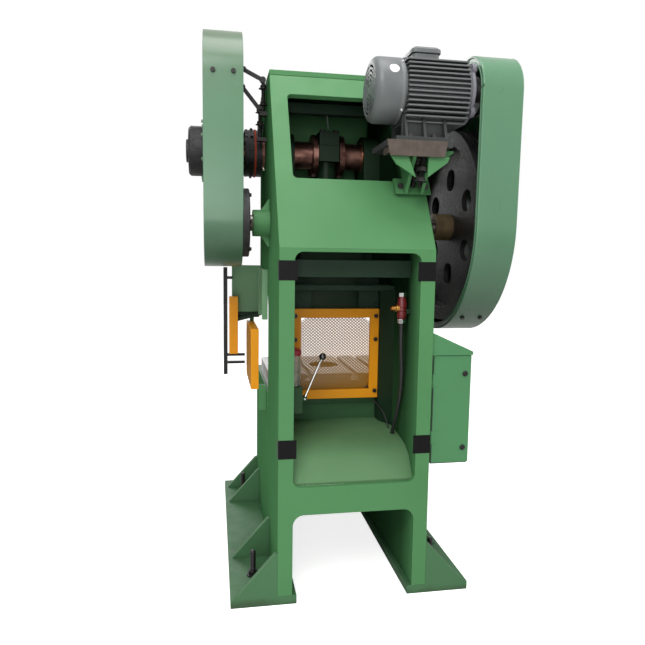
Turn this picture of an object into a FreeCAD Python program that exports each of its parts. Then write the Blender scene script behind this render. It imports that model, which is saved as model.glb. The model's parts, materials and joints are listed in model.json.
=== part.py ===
"""Open-back crank press with a fixed bed: a parametric document in millimetres.

Frame: the origin is on the floor under the middle of the base plates, +Z is up,
the operator stands at -Y, the gears are on the +X side and the flywheel on the -X side.
The crank is at top dead centre.
"""
import FreeCAD
import Part

import math
import os
import re

import Sketcher

SIZES = {
    # frame
    "frame_width": 620, "cheek_thickness": 60, "base_depth": 1300, "skin": 25,
    "knee_height": 1426, "head_height": 2202, "slope_run": 471, "top_plate_thickness": 22,
    "head_front": -315, "bed_front": -560, "throat_back": 180, "throat_top": 1230,
    "throat_upper_radius": 90, "throat_lower_radius": 12, "bed_seat": 700,
    "bed_plate_thickness": 60, "bed_plate_rear": 165,
    # rear openings
    "opening_bottom": 483, "opening_drop": 14, "opening_radius": 32, "web_bottom": 369,
    "arch_radius": 45, "window_width": 476, "window_low": 329, "window_high": 775,
    "window_radius": 20,
    # feet
    "base_inner": 232, "base_outer": 496, "base_thickness": 36, "rib_thickness": 25,
    "rib_reach": 170, "rib_height": 178, "rib_tip": 10, "rib_rear": 287, "rib_middle": 322,
    "anchor_across": 792, "anchor_along": 930, "anchor_hole": 36, "anchor_thread": 24,
    "anchor_flats": 36, "anchor_nut": 20, "anchor_standing": 110, "anchor_washer": 5,
    # inside of the neck
    "floor_front_height": 627, "floor_sheet": 10, "floor_run": 343, "floor_drop": 135,
    "tie_beam_width": 60, "tie_beam_height": 70,
    "tie_beam_drop": 44, "tie_beam_y": 470, "tie_plate_top": 1267, "tie_plate_thickness": 22,
    "tie_plate_depth": 120, "head_beam_width": 50, "head_beam_height": 46,
    "head_beam_top": 2100, "head_beam_y": 10, "liner_inset": 45, "liner_rear": 310,
    "liner_bend": 226, "liner_sheet": 16,
    # side ribs and outriggers
    "side_rib_stand": 25, "side_rib_width": 30, "side_rib_low": 1100, "side_rib_tall": 230,
    "side_rib_front": -115, "side_rib_back": 120, "outrigger_reach": 151, "outrigger_depth": 60,
    "outrigger_low": 1100, "outrigger_tall": 242, "outrigger_front": -305,
    # bolster
    "bolster_width": 600, "bolster_depth": 500, "bolster_thickness": 80, "bolster_hole": 150,
    "slot_width": 22, "slot_depth": 34, "slot_foot_width": 38, "slot_foot_height": 16,
    "slot_inner": 110, "slot_outer": 220,
    # crank train
    "crank_y": -105, "crank_z": 1887, "throw_radius": 40, "main_radius": 65, "pin_radius": 46,
    "web_radius": 100, "web_thickness": 26, "pin_length": 104, "bush_wall": 12,
    "running_gap": 0.05, "block_thickness": 80, "block_radius": 100, "block_foot": 240,
    # connecting rod
    "rod_width": 98, "rod_half_depth": 88, "rod_cap_rise": 66, "rod_head_drop": 75,
    "rod_shell_wall": 10, "rod_neck_radius": 50, "rod_neck_length": 235, "screw_radius": 30,
    "ball_radius": 48, "ball_drop": 470, "cup_radius": 62, "cup_drop": 65, "cup_rise": 30,
    "cap_bolt_across": 66, "cap_bolt_along": 136, "cap_bolt_thread": 16, "cap_bolt_flats": 24,
    "cap_bolt_head": 10,
    # slide and guides
    "slide_width": 300, "slide_low": 1120, "slide_tall": 480, "slide_gap": 0.3,
    "slide_back": 80, "cavity_width": 150, "cavity_half_depth": 108, "cavity_floor": 1305,
    "shank_radius": 25, "knock_slot_low": 1180, "knock_slot_tall": 66,
    "knock_slot_depth": 42, "knock_bar_length": 470, "knock_bar_depth": 38,
    "knock_bar_height": 26, "knock_gap": 1, "guide_low": 1262, "guide_top": 1640,
    "guide_depth": 170, "keeper_inner": 122, "clamp_width": 150, "clamp_depth": 42,
    "clamp_tall": 78, "clamp_drop": 0.5,
    # gears
    "gear_module": 9, "gear_teeth": 90, "pinion_teeth": 17, "tooth_backlash": 1.2,
    "gear_start": 470, "gear_width": 90, "gear_hub_radius": 105, "gear_hub_start": 440,
    "gear_web_inset": 30, "gear_hole_radius": 62, "gear_hole_circle": 235, "pinion_extra": 5,
    # clutch, brake and end hub
    "clutch_start": 325, "clutch_width": 81, "clutch_radius": 110, "hub_neck_radius": 80,
    "hub_radius": 116, "hub_shoulder": 602, "hub_end": 668, "hub_chamfer": 10,
    "hub_plate_radius": 54, "hub_plate_thickness": 12,
    # drive shaft
    "drive_y": 225, "shaft_radius": 35, "bearing_radius": 48, "boss_radius": 58,
    "boss_length": 75, "boss_rib": 20, "boss_rib_rise": 46, "shaft_gear_end": 575,
    "shaft_wheel_end": 610, "flange_disc_radius": 148, "flange_disc_thickness": 28,
    # flywheel and belts
    "wheel_start": 484, "wheel_width": 110, "wheel_radius": 430, "wheel_rim": 62,
    "wheel_web": 24, "wheel_hub_radius": 60, "wheel_hub_start": 445, "wheel_hole_circle": 215,
    "wheel_hole_radius": 48, "wheel_hole_length": 90, "wheel_hole_count": 6,
    "belt_count": 4, "belt_pitch": 22, "belt_width": 15, "belt_height": 11, "belt_gap": 0.5,
    "pulley_radius": 76, "pulley_bore": 19,
    # motor
    "motor_setback": 100, "motor_z": 2043, "motor_core_radius": 104, "motor_fin_radius": 126,
    "motor_fin": 4, "motor_fin_pairs": 18, "motor_cowl_end": 28, "cowl_length": 142,
    "cowl_radius": 125, "cowl_sheet": 3, "motor_frame_length": 288,
    "bell_length": 24, "bell_radius": 118, "fan_radius": 96, "fan_width": 32, "motor_foot": 203,
    "foot_width": 64, "foot_thickness": 22, "foot_across": 232, "terminal_width": 107,
    "terminal_depth": 110, "terminal_tall": 32, "lid_thickness": 28, "lid_overhang": 6,
    "terminal_x": 261, "gland_radius": 10, "gland_length": 34,
    # motor bracket
    "motor_plate_thickness": 22, "motor_plate_depth": 240, "motor_plate_left": 130,
    "motor_plate_right": 389, "bracket_left": 173, "bracket_right": 322, "bracket_base": 24,
    "bracket_drop": 167, "bracket_foot_tall": 65, "bracket_web": 14,
    "bracket_web_inset": 34, "bracket_wing": 12, "bracket_wing_y": 592,
    "bracket_wing_drop": 88, "bracket_edge": 14, "tension_radius": 9, "tension_lean": 35,
    "bracket_flats": 22,
    # guards
    "guard_sheet": 4, "gear_guard_inner": 430, "gear_guard_outer": 594, "gear_guard_rear": 360,
    "gear_guard_front": -570, "gear_guard_low": 1344, "gear_guard_top": 2352,
    "gear_guard_radius": 215, "guard_shaft_hole": 125, "belt_guard_inner": 460,
    "belt_guard_clear": 28, "belt_guard_radius": 470, "belt_guard_top_radius": 150,
    "belt_guard_lip": 26, "belt_bolt_angle": 57, "strap_thickness": 12, "strap_width": 30,
    "stay_setback": 300, "stay_stand": 17, "stay_post_radius": 9, "stay_post_length": 170,
    "stay_width": 16, "stay_thickness": 20, "stay_nut": 28, "stay_drop": 45, "stay_rise": 100,
    "stay_pitch": 88,
    # mesh guards
    "mesh_guard_y": 196, "mesh_guard_low": 735, "mesh_guard_tall": 421, "mesh_bar": 42,
    "mesh_bar_thickness": 18, "guard_lug": 16, "mesh_sheet": 2, "mesh_long": 60, "mesh_short": 46,
    "mesh_strand": 3, "side_guard_stand": 37, "side_guard_width": 37, "side_guard_low": 762,
    "side_guard_tall": 288, "side_guard_front": -300, "side_guard_rear": 100,
    "side_guard_bar": 14, "guard_tab": 20,
    # light curtain
    "curtain_x": 433, "curtain_width": 44, "curtain_depth": 50, "curtain_low": 886,
    "curtain_tall": 297, "curtain_y": -240, "post_stand": 176, "post_width": 20, "post_low": 777,
    "post_tall": 555, "arm_height": 13, "arm_pitch": 40, "hanger_drop": 60,
    # oil pump
    "pump_inset": 37, "pump_y": 350, "pump_low": 715, "pump_tall": 115, "pump_half_width": 35,
    "reservoir_radius": 31, "reservoir_tall": 136, "cap_radius": 33, "cap_tall": 34,
    "lever_z": 773, "lever_lean": 78, "lever_rise": 184, "lever_radius": 5, "knob_radius": 16,
    "lever_stand": 14, "lever_boss_radius": 9, "lever_boss_length": 20, "lever_gap": 0.5,
    "lever_pin_radius": 4, "lever_ear": 6,
    # air regulator and hose
    "regulator_inset": 34, "regulator_setback": 130, "regulator_low": 1122, "regulator_tall": 130,
    "regulator_radius": 23, "hose_radius": 8, "cable_radius": 3,
    # cabinet
    "cabinet_stand": 10, "cabinet_width": 165, "cabinet_depth": 500, "cabinet_rear": 612,
    "cabinet_low": 552, "cabinet_tall": 450, "cabinet_sheet": 3, "door_thickness": 18,
    "hood_rise": 80, "hood_eave": 15, "hood_over": 4, "lock_radius": 12, "lock_inset": 26,
    # small bolts
    "small_flats": 18, "small_head": 8, "small_thread": 12,
}

# Places that move with the frame, under the names that the expressions use.
PLACES = {
    "post_x": "frame_width / 2 + post_stand",
    "side_guard_x": "frame_width / 2 + side_guard_stand",
    "cabinet_inner": "frame_width / 2 + cabinet_stand",
    "pump_x": "frame_width / 2 - cheek_thickness - pump_inset",
    "regulator_x": "regulator_inset + cheek_thickness - frame_width / 2",
    "opening_top": "knee_height - opening_drop",
    "tie_beam_top": "knee_height - tie_beam_drop",
    "liner_height": "tie_plate_top - tie_plate_thickness - floor_front_height",
}

DOCUMENT_NAME = "stamping_press"
doc = FreeCAD.newDocument(DOCUMENT_NAME)
sheet = doc.addObject("Spreadsheet::Sheet", "sizes")
for row, (alias, number) in enumerate(SIZES.items(), start=1):
    sheet.set(f"A{row}", alias.replace("_", " "))
    sheet.set(f"B{row}", str(number))
    sheet.setAlias(f"B{row}", alias)
doc.recompute()

Vector = FreeCAD.Vector
Rotation = FreeCAD.Rotation
TURNS = {
    "X": Rotation(Vector(0, 1, 0), 90),
    "Y": Rotation(Vector(1, 0, 0), -90),
    "Z": Rotation(),
    "-X": Rotation(Vector(0, 1, 0), -90),
    "-Y": Rotation(Vector(1, 0, 0), 90),
    "-Z": Rotation(Vector(1, 0, 0), 180),
}
SIDES = {"gear_side": 1, "flywheel_side": -1}

# Lengths that follow from the driving sizes.
HALF_FRAME = "(frame_width / 2)"
CHEEK_INNER = f"({HALF_FRAME} - cheek_thickness)"
INNER_WIDTH = f"(2 * {CHEEK_INNER})"
REAR = "(base_depth / 2)"
REAR_INSIDE = f"({REAR} - skin)"
LEAN = "(slope_run / (head_height - knee_height))"
SLOPE_STRETCH = f"sqrt(1 + {LEAN} ^ 2)"
SKIN_ACROSS = f"(skin * {SLOPE_STRETCH})"
UNDER_TOP = "(head_height - top_plate_thickness)"
FRONT_INSIDE = "(head_front + skin)"
BED_TOP = "(bed_seat + bed_plate_thickness)"
BOLSTER_TOP = f"({BED_TOP} + bolster_thickness)"
CENTRES = "(gear_module * (gear_teeth + pinion_teeth) / 2)"
DRIVE_Z = f"(crank_z - sqrt({CENTRES} ^ 2 - (drive_y - crank_y) ^ 2))"
PIN_Z = "(crank_z + throw_radius)"
BUSH_OUTER = "(main_radius + running_gap + bush_wall)"
LINER_GAP = f"({CHEEK_INNER} - liner_inset)"
BELT_GUARD_OUTER = "(wheel_start + wheel_width + belt_guard_clear)"
MOTOR_Y = f"({REAR} - motor_setback)"
MOTOR_PLATE_TOP = "(motor_z - motor_foot)"
BRACKET_FOOT = f"({MOTOR_PLATE_TOP} - motor_plate_thickness - bracket_drop)"
REGULATOR_Y = f"({REAR} - regulator_setback)"
LEVER_X = "(pump_x - pump_half_width - lever_stand)"

nodes = []


def formula(text):
    """Point each size name in an expression at its cell."""
    return re.sub(r"[a-z_]+", lambda word: cell_name(word.group()), str(text))


def cell_name(word):
    if word in PLACES:
        return f"({formula(PLACES[word])})"
    return f"sizes.{word}" if word in SIZES else word


def size(alias):
    """The number in a cell."""
    return float(sheet.get(alias))


def bind(part, **expressions):
    for name, text in expressions.items():
        target = f"Placement.Base.{name}" if name in "xyz" else name
        part.setExpression(target, formula(text))
    return part


def keep(label, part):
    """Give a finished sub-part its name and put it on the list of nodes."""
    part.Label = label
    nodes.append(part)
    return part


def primitive(kind, turn="Z", **expressions):
    part = doc.addObject(kind, kind.split("::")[1].lower())
    part.Placement = FreeCAD.Placement(Vector(), TURNS[turn])
    return bind(part, **expressions)


def box(length, width, height, x, y, z):
    return primitive("Part::Box", Length=length, Width=width, Height=height, x=x, y=y, z=z)


def rod(radius, length, x, y, z, along="Z"):
    """A cylinder that starts at x, y, z and runs along an axis."""
    return primitive("Part::Cylinder", along, Radius=radius, Height=length, x=x, y=y, z=z)


def hexagon(flats, height, x, y, z, along="Z"):
    part = primitive("Part::Prism", along, Height=height, x=x, y=y, z=z)
    return bind(part, Circumradius=f"({flats}) / sqrt(3)")


def cut(base, *tools):
    for tool in tools:
        result = doc.addObject("Part::Cut", "cut")
        result.Base = base
        result.Tool = tool
        base = result
    return base


def fuse(*parts):
    result = doc.addObject("Part::MultiFuse", "fuse")
    result.Shapes = list(parts)
    return result


def group(*parts):
    """Several solids that share one node."""
    result = doc.addObject("Part::Compound", "group")
    result.Links = list(parts)
    return result


def both_sides(make):
    """The pieces that a function makes for the gear side and for the flywheel side."""
    return [make(side) for side in SIDES]


def bolt(flats, head, thread, length, x, y, z, along):
    """A hexagon bolt whose head stands along the axis and whose shank goes the other way."""
    back = along[1:] if along.startswith("-") else "-" + along
    return fuse(hexagon(flats, head, x, y, z, along),
                rod(f"{thread} / 2", length, x, y, z, back))


def small_bolt(length, x, y, z, along):
    return bolt("small_flats", "small_head", "small_thread", length, x, y, z, along)


# Sketch-built bodies

def origin_plane(body, role):
    for plane in body.Origin.OriginFeatures:
        if plane.Role == role:
            return plane
    raise ValueError(role)


def sketch_on(body, plane, start):
    sketch = body.newObject("Sketcher::SketchObject", body.Name + "_sketch")
    sketch.AttachmentSupport = [(origin_plane(body, plane + "_Plane"), "")]
    sketch.MapMode = "FlatFace"
    sketch.setExpression("AttachmentOffset.Base.z", formula(start))
    return sketch


def fix_point(sketch, curve, end, across, up):
    """Hold one point of a curve at two distances from the sketch's origin."""
    for kind, text in (("DistanceX", across), ("DistanceY", up)):
        number = sketch.addConstraint(Sketcher.Constraint(kind, -1, 1, curve, end, 1.0))
        sketch.setExpression(f"Constraints[{number}]", formula(text))


def add_loop(sketch, points):
    """A closed outline of straight lines; returns the number of its first line."""
    first = sketch.GeometryCount
    count = len(points)
    ring = [Vector(50 * math.cos(2 * math.pi * step / count),
                   50 * math.sin(2 * math.pi * step / count), 0) for step in range(count)]
    for step in range(count):
        sketch.addGeometry(Part.LineSegment(ring[step], ring[(step + 1) % count]))
    for step in range(count):
        after = first + (step + 1) % count
        sketch.addConstraint(Sketcher.Constraint("Coincident", first + step, 2, after, 1))
    for step, (across, up) in enumerate(points):
        fix_point(sketch, first + step, 1, across, up)
    return first


def add_circle(sketch, across, up, radius):
    curve = sketch.addGeometry(Part.Circle(Vector(1, 1, 0), Vector(0, 0, 1), 1))
    fix_point(sketch, curve, 3, across, up)
    number = sketch.addConstraint(Sketcher.Constraint("Radius", curve, 1.0))
    sketch.setExpression(f"Constraints[{number}]", formula(radius))


def corner_edges(shape, sketch, corners):
    """Names of the edges that stand on the given corners of a sketch, square to it."""
    normal = sketch.Placement.Rotation.multVec(Vector(0, 0, 1))
    names = []
    for corner in corners:
        point = sketch.Placement.multVec(sketch.Geometry[corner].StartPoint)
        for number, edge in enumerate(shape.Edges, start=1):
            if not isinstance(edge.Curve, Part.Line):
                continue
            run = edge.Vertexes[-1].Point - edge.Vertexes[0].Point
            across = edge.Vertexes[0].Point - point
            level = across - normal * across.dot(normal)
            if run.cross(normal).Length < 1e-6 * run.Length and level.Length < 1e-4:
                names.append(f"Edge{number}")
    return names


def plate(plane, start, thickness, outline, holes=(), circles=(), rounds=None):
    """A flat plate: an outline, straight-sided holes and round holes, padded, then rounded.

    rounds maps a radius to the numbers of the corners that it rounds; the corners of
    the holes follow on from those of the outline.
    """
    body = doc.addObject("PartDesign::Body", "plate")
    sketch = sketch_on(body, plane, start)
    add_loop(sketch, outline)
    for hole in holes:
        add_loop(sketch, hole)
    for circle in circles:
        add_circle(sketch, *circle)
    pad = body.newObject("PartDesign::Pad", body.Name + "_pad")
    pad.Profile = sketch
    pad.setExpression("Length", formula(thickness))
    for radius, corners in (rounds or {}).items():
        doc.recompute()
        names = corner_edges(pad.Shape, sketch, corners)
        fillet = body.newObject("PartDesign::Fillet", body.Name + "_round")
        fillet.Base = (pad, names)
        fillet.setExpression("Radius", formula(radius))
        pad = fillet
    return body


def rectangle(left, right, low, high):
    return [(left, low), (right, low), (right, high), (left, high)]


def turned(outline, y, z):
    """A piece turned about a line along X: outline points are (x, radius)."""
    body = doc.addObject("PartDesign::Body", "turned")
    sketch = sketch_on(body, "XY", "0")
    add_loop(sketch, outline)
    spin = body.newObject("PartDesign::Revolution", body.Name + "_spin")
    spin.Profile = sketch
    spin.ReferenceAxis = (sketch, ["H_Axis"])
    spin.Angle = 360
    return bind(body, y=y, z=z)


def ring(start, end, inner, outer):
    return [(start, inner), (end, inner), (end, outer), (start, outer)]


# Frame

def slope_y(height):
    """Outer face of the sloped rear plate at a height."""
    return f"({REAR} - {LEAN} * ({height} - knee_height))"


def cheek(side):
    sign = SIDES[side]
    start = CHEEK_INNER if sign > 0 else f"-{HALF_FRAME}"
    outline = [
        (REAR_INSIDE, "base_thickness"),
        (REAR_INSIDE, f"knee_height - ({SKIN_ACROSS} - skin) / {LEAN}"),
        (f"{slope_y(UNDER_TOP)} - {SKIN_ACROSS}", UNDER_TOP),
        (FRONT_INSIDE, UNDER_TOP),
        (FRONT_INSIDE, "throat_top"),
        ("throat_back", "throat_top"),
        ("throat_back", "bed_seat"),
        ("bed_front + skin", "bed_seat"),
        ("bed_front + skin", "base_thickness"),
    ]
    bores = [("crank_y", "crank_z", BUSH_OUTER), ("drive_y", DRIVE_Z, "bearing_radius")]
    rounds = {"throat_upper_radius": [5], "throat_lower_radius": [6]}
    return plate("YZ", start, "cheek_thickness", outline, circles=bores, rounds=rounds)


def sloped_plate():
    reach = f"(({UNDER_TOP} - knee_height) * {SLOPE_STRETCH})"
    outline = rectangle(f"-{HALF_FRAME}", HALF_FRAME, "0", reach)
    window = rectangle("-window_width / 2", "window_width / 2", "window_low", "window_high")
    rounds = {"window_radius": [4, 5, 6, 7]}
    body = plate("XY", "0", "skin", outline, [window], rounds=rounds)
    body.Placement = FreeCAD.Placement(Vector(), Rotation(Vector(1, 0, 0), 120))
    bind(body, y=REAR, z="knee_height")
    angle = "atan2(head_height - knee_height; 0 - slope_run)"
    body.setExpression("Placement.Rotation.Angle", formula(angle))
    return keep("sloped_rear_plate", body)


def rear_plates():
    """Upright plate with the rear opening, and the sloped plate that it is mitred to."""
    outline = [
        (f"-{HALF_FRAME}", "base_thickness"), (f"-{CHEEK_INNER}", "base_thickness"),
        (f"-{CHEEK_INNER}", "web_bottom"), (CHEEK_INNER, "web_bottom"),
        (CHEEK_INNER, "base_thickness"), (HALF_FRAME, "base_thickness"),
        (HALF_FRAME, "knee_height"), (f"-{HALF_FRAME}", "knee_height"),
    ]
    opening = rectangle(f"-{CHEEK_INNER}", CHEEK_INNER, "opening_bottom", "opening_top")
    rounds = {"arch_radius": [2, 3], "opening_radius": [8, 9, 10, 11]}
    upright = plate("XZ", f"-{REAR}", "skin", outline, [opening], rounds=rounds)
    keep("rear_plate", cut(upright, sloped_plate()))


def head_plates():
    top = box("frame_width", f"{slope_y(UNDER_TOP)} - head_front", "top_plate_thickness",
              f"-{HALF_FRAME}", "head_front", UNDER_TOP)
    front = box("frame_width", "skin", f"{UNDER_TOP} - guide_top", f"-{HALF_FRAME}",
                "head_front", "guide_top")
    keep("head_plates", group(top, front))


def cross_beams():
    """Beams between the cheeks: behind the crank, at the top of the neck and over the throat."""
    head = box(INNER_WIDTH, "head_beam_width", "head_beam_height", f"-{CHEEK_INNER}",
               "head_beam_y", "head_beam_top - head_beam_height")
    neck = box(INNER_WIDTH, "tie_beam_width", "tie_beam_height", f"-{CHEEK_INNER}",
               "tie_beam_y", "tie_beam_top - tie_beam_height")
    throat = box(INNER_WIDTH, "tie_plate_depth", "tie_plate_thickness", f"-{CHEEK_INNER}",
                 "throat_back", "tie_plate_top - tie_plate_thickness")
    keep("cross_beams", group(head, neck, throat))


def throat_liner(side):
    """Bent sheet that leads the wide rear neck in to the narrower throat."""
    sign = SIDES[side]
    outline = [
        (CHEEK_INNER, "liner_rear"), (LINER_GAP, "liner_bend"),
        (LINER_GAP, "bed_plate_rear"), (f"{LINER_GAP} + liner_sheet", "bed_plate_rear"),
        (f"{LINER_GAP} + liner_sheet", "liner_bend"),
        (CHEEK_INNER, "liner_rear - 2 * liner_sheet"),
    ]
    placed = [(f"{sign} * ({across})", along) for across, along in outline]
    return plate("XY", "floor_front_height", "liner_height", placed)


def floor_sheet():
    """Sheet from the rear web up and forward to the bed; its rear end turns down steeply."""
    curve = [(0, 1), (0.18, 0.41), (0.31, 0.22), (0.51, 0.12), (1, 0.015)]
    rise = [(f"{REAR_INSIDE} - floor_run * {run}", drop) for run, drop in curve]
    rise.append(("bed_plate_rear", 0))
    top = [(along, f"floor_front_height - floor_drop * {drop}") for along, drop in rise]
    below = [(along, f"{height} - floor_sheet") for along, height in top]
    keep("floor_sheet", plate("YZ", f"-{CHEEK_INNER}", INNER_WIDTH, top + below[::-1]))


def bed():
    rear = box(INNER_WIDTH, "skin", "bed_seat - web_bottom", f"-{CHEEK_INNER}",
               "bed_plate_rear - skin", "web_bottom")
    front = box("frame_width", "skin", "bed_seat - base_thickness", f"-{HALF_FRAME}",
                "bed_front", "base_thickness")
    table = box("frame_width", "bed_plate_rear - bed_front", "bed_plate_thickness",
                f"-{HALF_FRAME}", "bed_front", "bed_seat")
    drop = rod("bolster_hole / 2", "bed_plate_thickness", "0", "crank_y", "bed_seat")
    keep("bed_plates", group(cut(table, drop), front, rear))


def tee_slot(x):
    rear = "crank_y - bolster_depth / 2"
    throat = box("slot_width", "bolster_depth", "slot_depth", f"{x} - slot_width / 2", rear,
                 f"{BOLSTER_TOP} - slot_depth")
    foot = box("slot_foot_width", "bolster_depth", "slot_foot_height",
               f"{x} - slot_foot_width / 2", rear, f"{BOLSTER_TOP} - slot_depth")
    return fuse(throat, foot)


def bolster():
    block = box("bolster_width", "bolster_depth", "bolster_thickness", "-bolster_width / 2",
                "crank_y - bolster_depth / 2", BED_TOP)
    hole = rod("bolster_hole / 2", "bolster_thickness", "0", "crank_y", BED_TOP)
    slots = [tee_slot(x) for x in ("slot_inner", "-slot_inner", "slot_outer", "-slot_outer")]
    keep("bolster", cut(block, hole, *slots))


def base_plate(side):
    sign = SIDES[side]
    left, right = ("base_inner", "base_outer") if sign > 0 else ("-base_outer", "-base_inner")
    outline = rectangle(left, right, f"-{REAR}", REAR)
    holes = [(f"{sign} * anchor_across / 2", f"{way} * anchor_along / 2", "anchor_hole / 2")
             for way in (1, -1)]
    return plate("XY", "0", "base_thickness", outline, circles=holes)


def foot_rib(sign, y):
    rib = primitive("Part::Wedge", Xmin="0", Xmax="rib_reach", Ymin="0", Ymax="rib_height",
                    Zmin="0", Zmax="rib_thickness", X2min="0", X2max="rib_tip",
                    Z2min="0", Z2max="rib_thickness")
    upright = Rotation(Vector(1, 0, 0), 90)
    if sign < 0:
        upright = Rotation(Vector(0, 0, 1), 180) * upright
        y = f"{y} - rib_thickness"
    rib.Placement = FreeCAD.Placement(Vector(), upright)
    return bind(rib, x=f"{sign} * {HALF_FRAME}", y=y, z="base_thickness")


def feet():
    places = [REAR, "rib_rear + rib_thickness", "0 - rib_middle", "bed_front + skin"]
    ribs = [foot_rib(sign, y) for sign in SIDES.values() for y in places]
    keep("feet", group(*both_sides(base_plate), *ribs))


def anchor(x, y):
    washer = rod("anchor_flats * 0.8", "anchor_washer", x, y, "base_thickness")
    nut = hexagon("anchor_flats", "anchor_nut", x, y, "base_thickness + anchor_washer")
    stud = rod("anchor_thread / 2", "base_thickness + anchor_standing", x, y, "0")
    return fuse(washer, nut, stud)


def anchors():
    places = [(across, along) for across in (1, -1) for along in (1, -1)]
    keep("anchor_bolts", group(*[anchor(f"{across} * anchor_across / 2",
                                        f"{along} * anchor_along / 2")
                                 for across, along in places]))


def side_mounts():
    """Upright ribs on the cheeks, and the blocks that carry the light curtain's posts."""
    ribs = []
    for sign in SIDES.values():
        left = HALF_FRAME if sign > 0 else f"-({HALF_FRAME} + side_rib_stand)"
        for y in ("side_rib_front", "side_rib_back"):
            ribs.append(box("side_rib_stand", "side_rib_width", "side_rib_tall", left, y,
                            "side_rib_low"))
    keep("side_mounts", group(*ribs, *both_sides(outrigger)))


def outrigger(side):
    left = HALF_FRAME if SIDES[side] > 0 else f"-({HALF_FRAME} + outrigger_reach)"
    return box("outrigger_reach", "outrigger_depth", "outrigger_tall", left, "outrigger_front",
               "outrigger_low")


# Crankshaft and its bearings

def bearing_block(side):
    """Round-topped block inside the cheek round the crankshaft."""
    sign = SIDES[side]
    left = f"{CHEEK_INNER} - block_thickness" if sign > 0 else f"-{CHEEK_INNER}"
    top = rod("block_radius", "block_thickness", left, "crank_y", "crank_z", "X")
    shank = box("block_thickness", "2 * block_radius", "block_foot", left,
                "crank_y - block_radius", "crank_z - block_foot")
    bore = rod(BUSH_OUTER, "block_thickness", left, "crank_y", "crank_z", "X")
    return cut(fuse(top, shank), bore)


def crank_bush(side):
    sign = SIDES[side]
    start, end = f"({CHEEK_INNER} - block_thickness)", HALF_FRAME
    if sign < 0:
        start, end = f"-{end}", f"-{start}"
    return turned(ring(start, end, "main_radius + running_gap", BUSH_OUTER),
                  "crank_y", "crank_z")


def bearings():
    keep("bearing_housings", group(*both_sides(bearing_block), *both_sides(shaft_boss)))
    keep("bearing_bushes", group(*both_sides(crank_bush), *both_sides(shaft_bearing)))


def crankshaft():
    inside = "pin_length / 2"
    parts = [rod("pin_radius", "pin_length", f"-{inside}", "crank_y", PIN_Z, "X")]
    for start in (inside, f"-{inside} - web_thickness"):
        parts.append(rod("web_radius", "web_thickness", start, "crank_y", "crank_z", "X"))
    shoulder = f"({inside} + web_thickness)"
    parts.append(rod("main_radius", f"gear_start + gear_width - {shoulder}", shoulder,
                     "crank_y", "crank_z", "X"))
    parts.append(rod("main_radius", f"{HALF_FRAME} + 20 - {shoulder}", f"-{HALF_FRAME} - 20",
                     "crank_y", "crank_z", "X"))
    keep("crankshaft", fuse(*parts))


# Connecting rod

def rod_block(height, low):
    return box("rod_width", "2 * rod_half_depth", height, "-rod_width / 2",
               "crank_y - rod_half_depth", low)


def rod_bore():
    return rod("pin_radius + running_gap + rod_shell_wall", "rod_width", "-rod_width / 2",
               "crank_y", PIN_Z, "X")


def connecting_rod():
    head = rod_block("rod_head_drop", f"{PIN_Z} - rod_head_drop")
    neck = rod("rod_neck_radius", "rod_neck_length", "0", "crank_y",
               f"{PIN_Z} - rod_head_drop - rod_neck_length")
    thread = rod("screw_radius", "rod_neck_length - 40", "0", "crank_y",
                 f"{PIN_Z} - rod_head_drop - rod_neck_length")
    keep("connecting_rod", cut(fuse(head, neck), rod_bore(), thread))
    keep("connecting_rod_cap", cut(rod_block("rod_cap_rise", PIN_Z), rod_bore()))
    shell = turned(ring("-rod_width / 2", "rod_width / 2", "pin_radius + running_gap",
                        "pin_radius + running_gap + rod_shell_wall"), "crank_y", PIN_Z)
    keep("rod_bush", shell)


def rod_bolts():
    places = [(across, along) for across in (1, -1) for along in (1, -1)]
    bolts = [bolt("cap_bolt_flats", "cap_bolt_head", "cap_bolt_thread", "cap_bolt_head / 2",
                  f"{across} * cap_bolt_across / 2", f"crank_y + {along} * cap_bolt_along / 2",
                  f"{PIN_Z} + rod_cap_rise", "Z") for across, along in places]
    sunk = [cut(each, rod_block("rod_cap_rise", PIN_Z)) for each in bolts]
    keep("cap_bolts", group(*sunk))


def ball_screw():
    """Length-adjusting screw with its ball, in the cup that rides with it."""
    top = f"({PIN_Z} - rod_head_drop - 45)"
    ball_z = f"({PIN_Z} - ball_drop)"
    stem = rod("screw_radius", f"{top} - {ball_z}", "0", "crank_y", ball_z)
    ball = primitive("Part::Sphere", Radius="ball_radius", y="crank_y", z=ball_z)
    cup = rod("cup_radius", "cup_drop + cup_rise", "0", "crank_y", f"{ball_z} - cup_drop")
    seat = primitive("Part::Sphere", Radius="ball_radius", y="crank_y", z=ball_z)
    mouth = rod("screw_radius + 8", "cup_drop", "0", "crank_y", ball_z)
    keep("ball_screw", group(fuse(stem, ball), cut(cup, seat, mouth)))


# Slide

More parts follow.
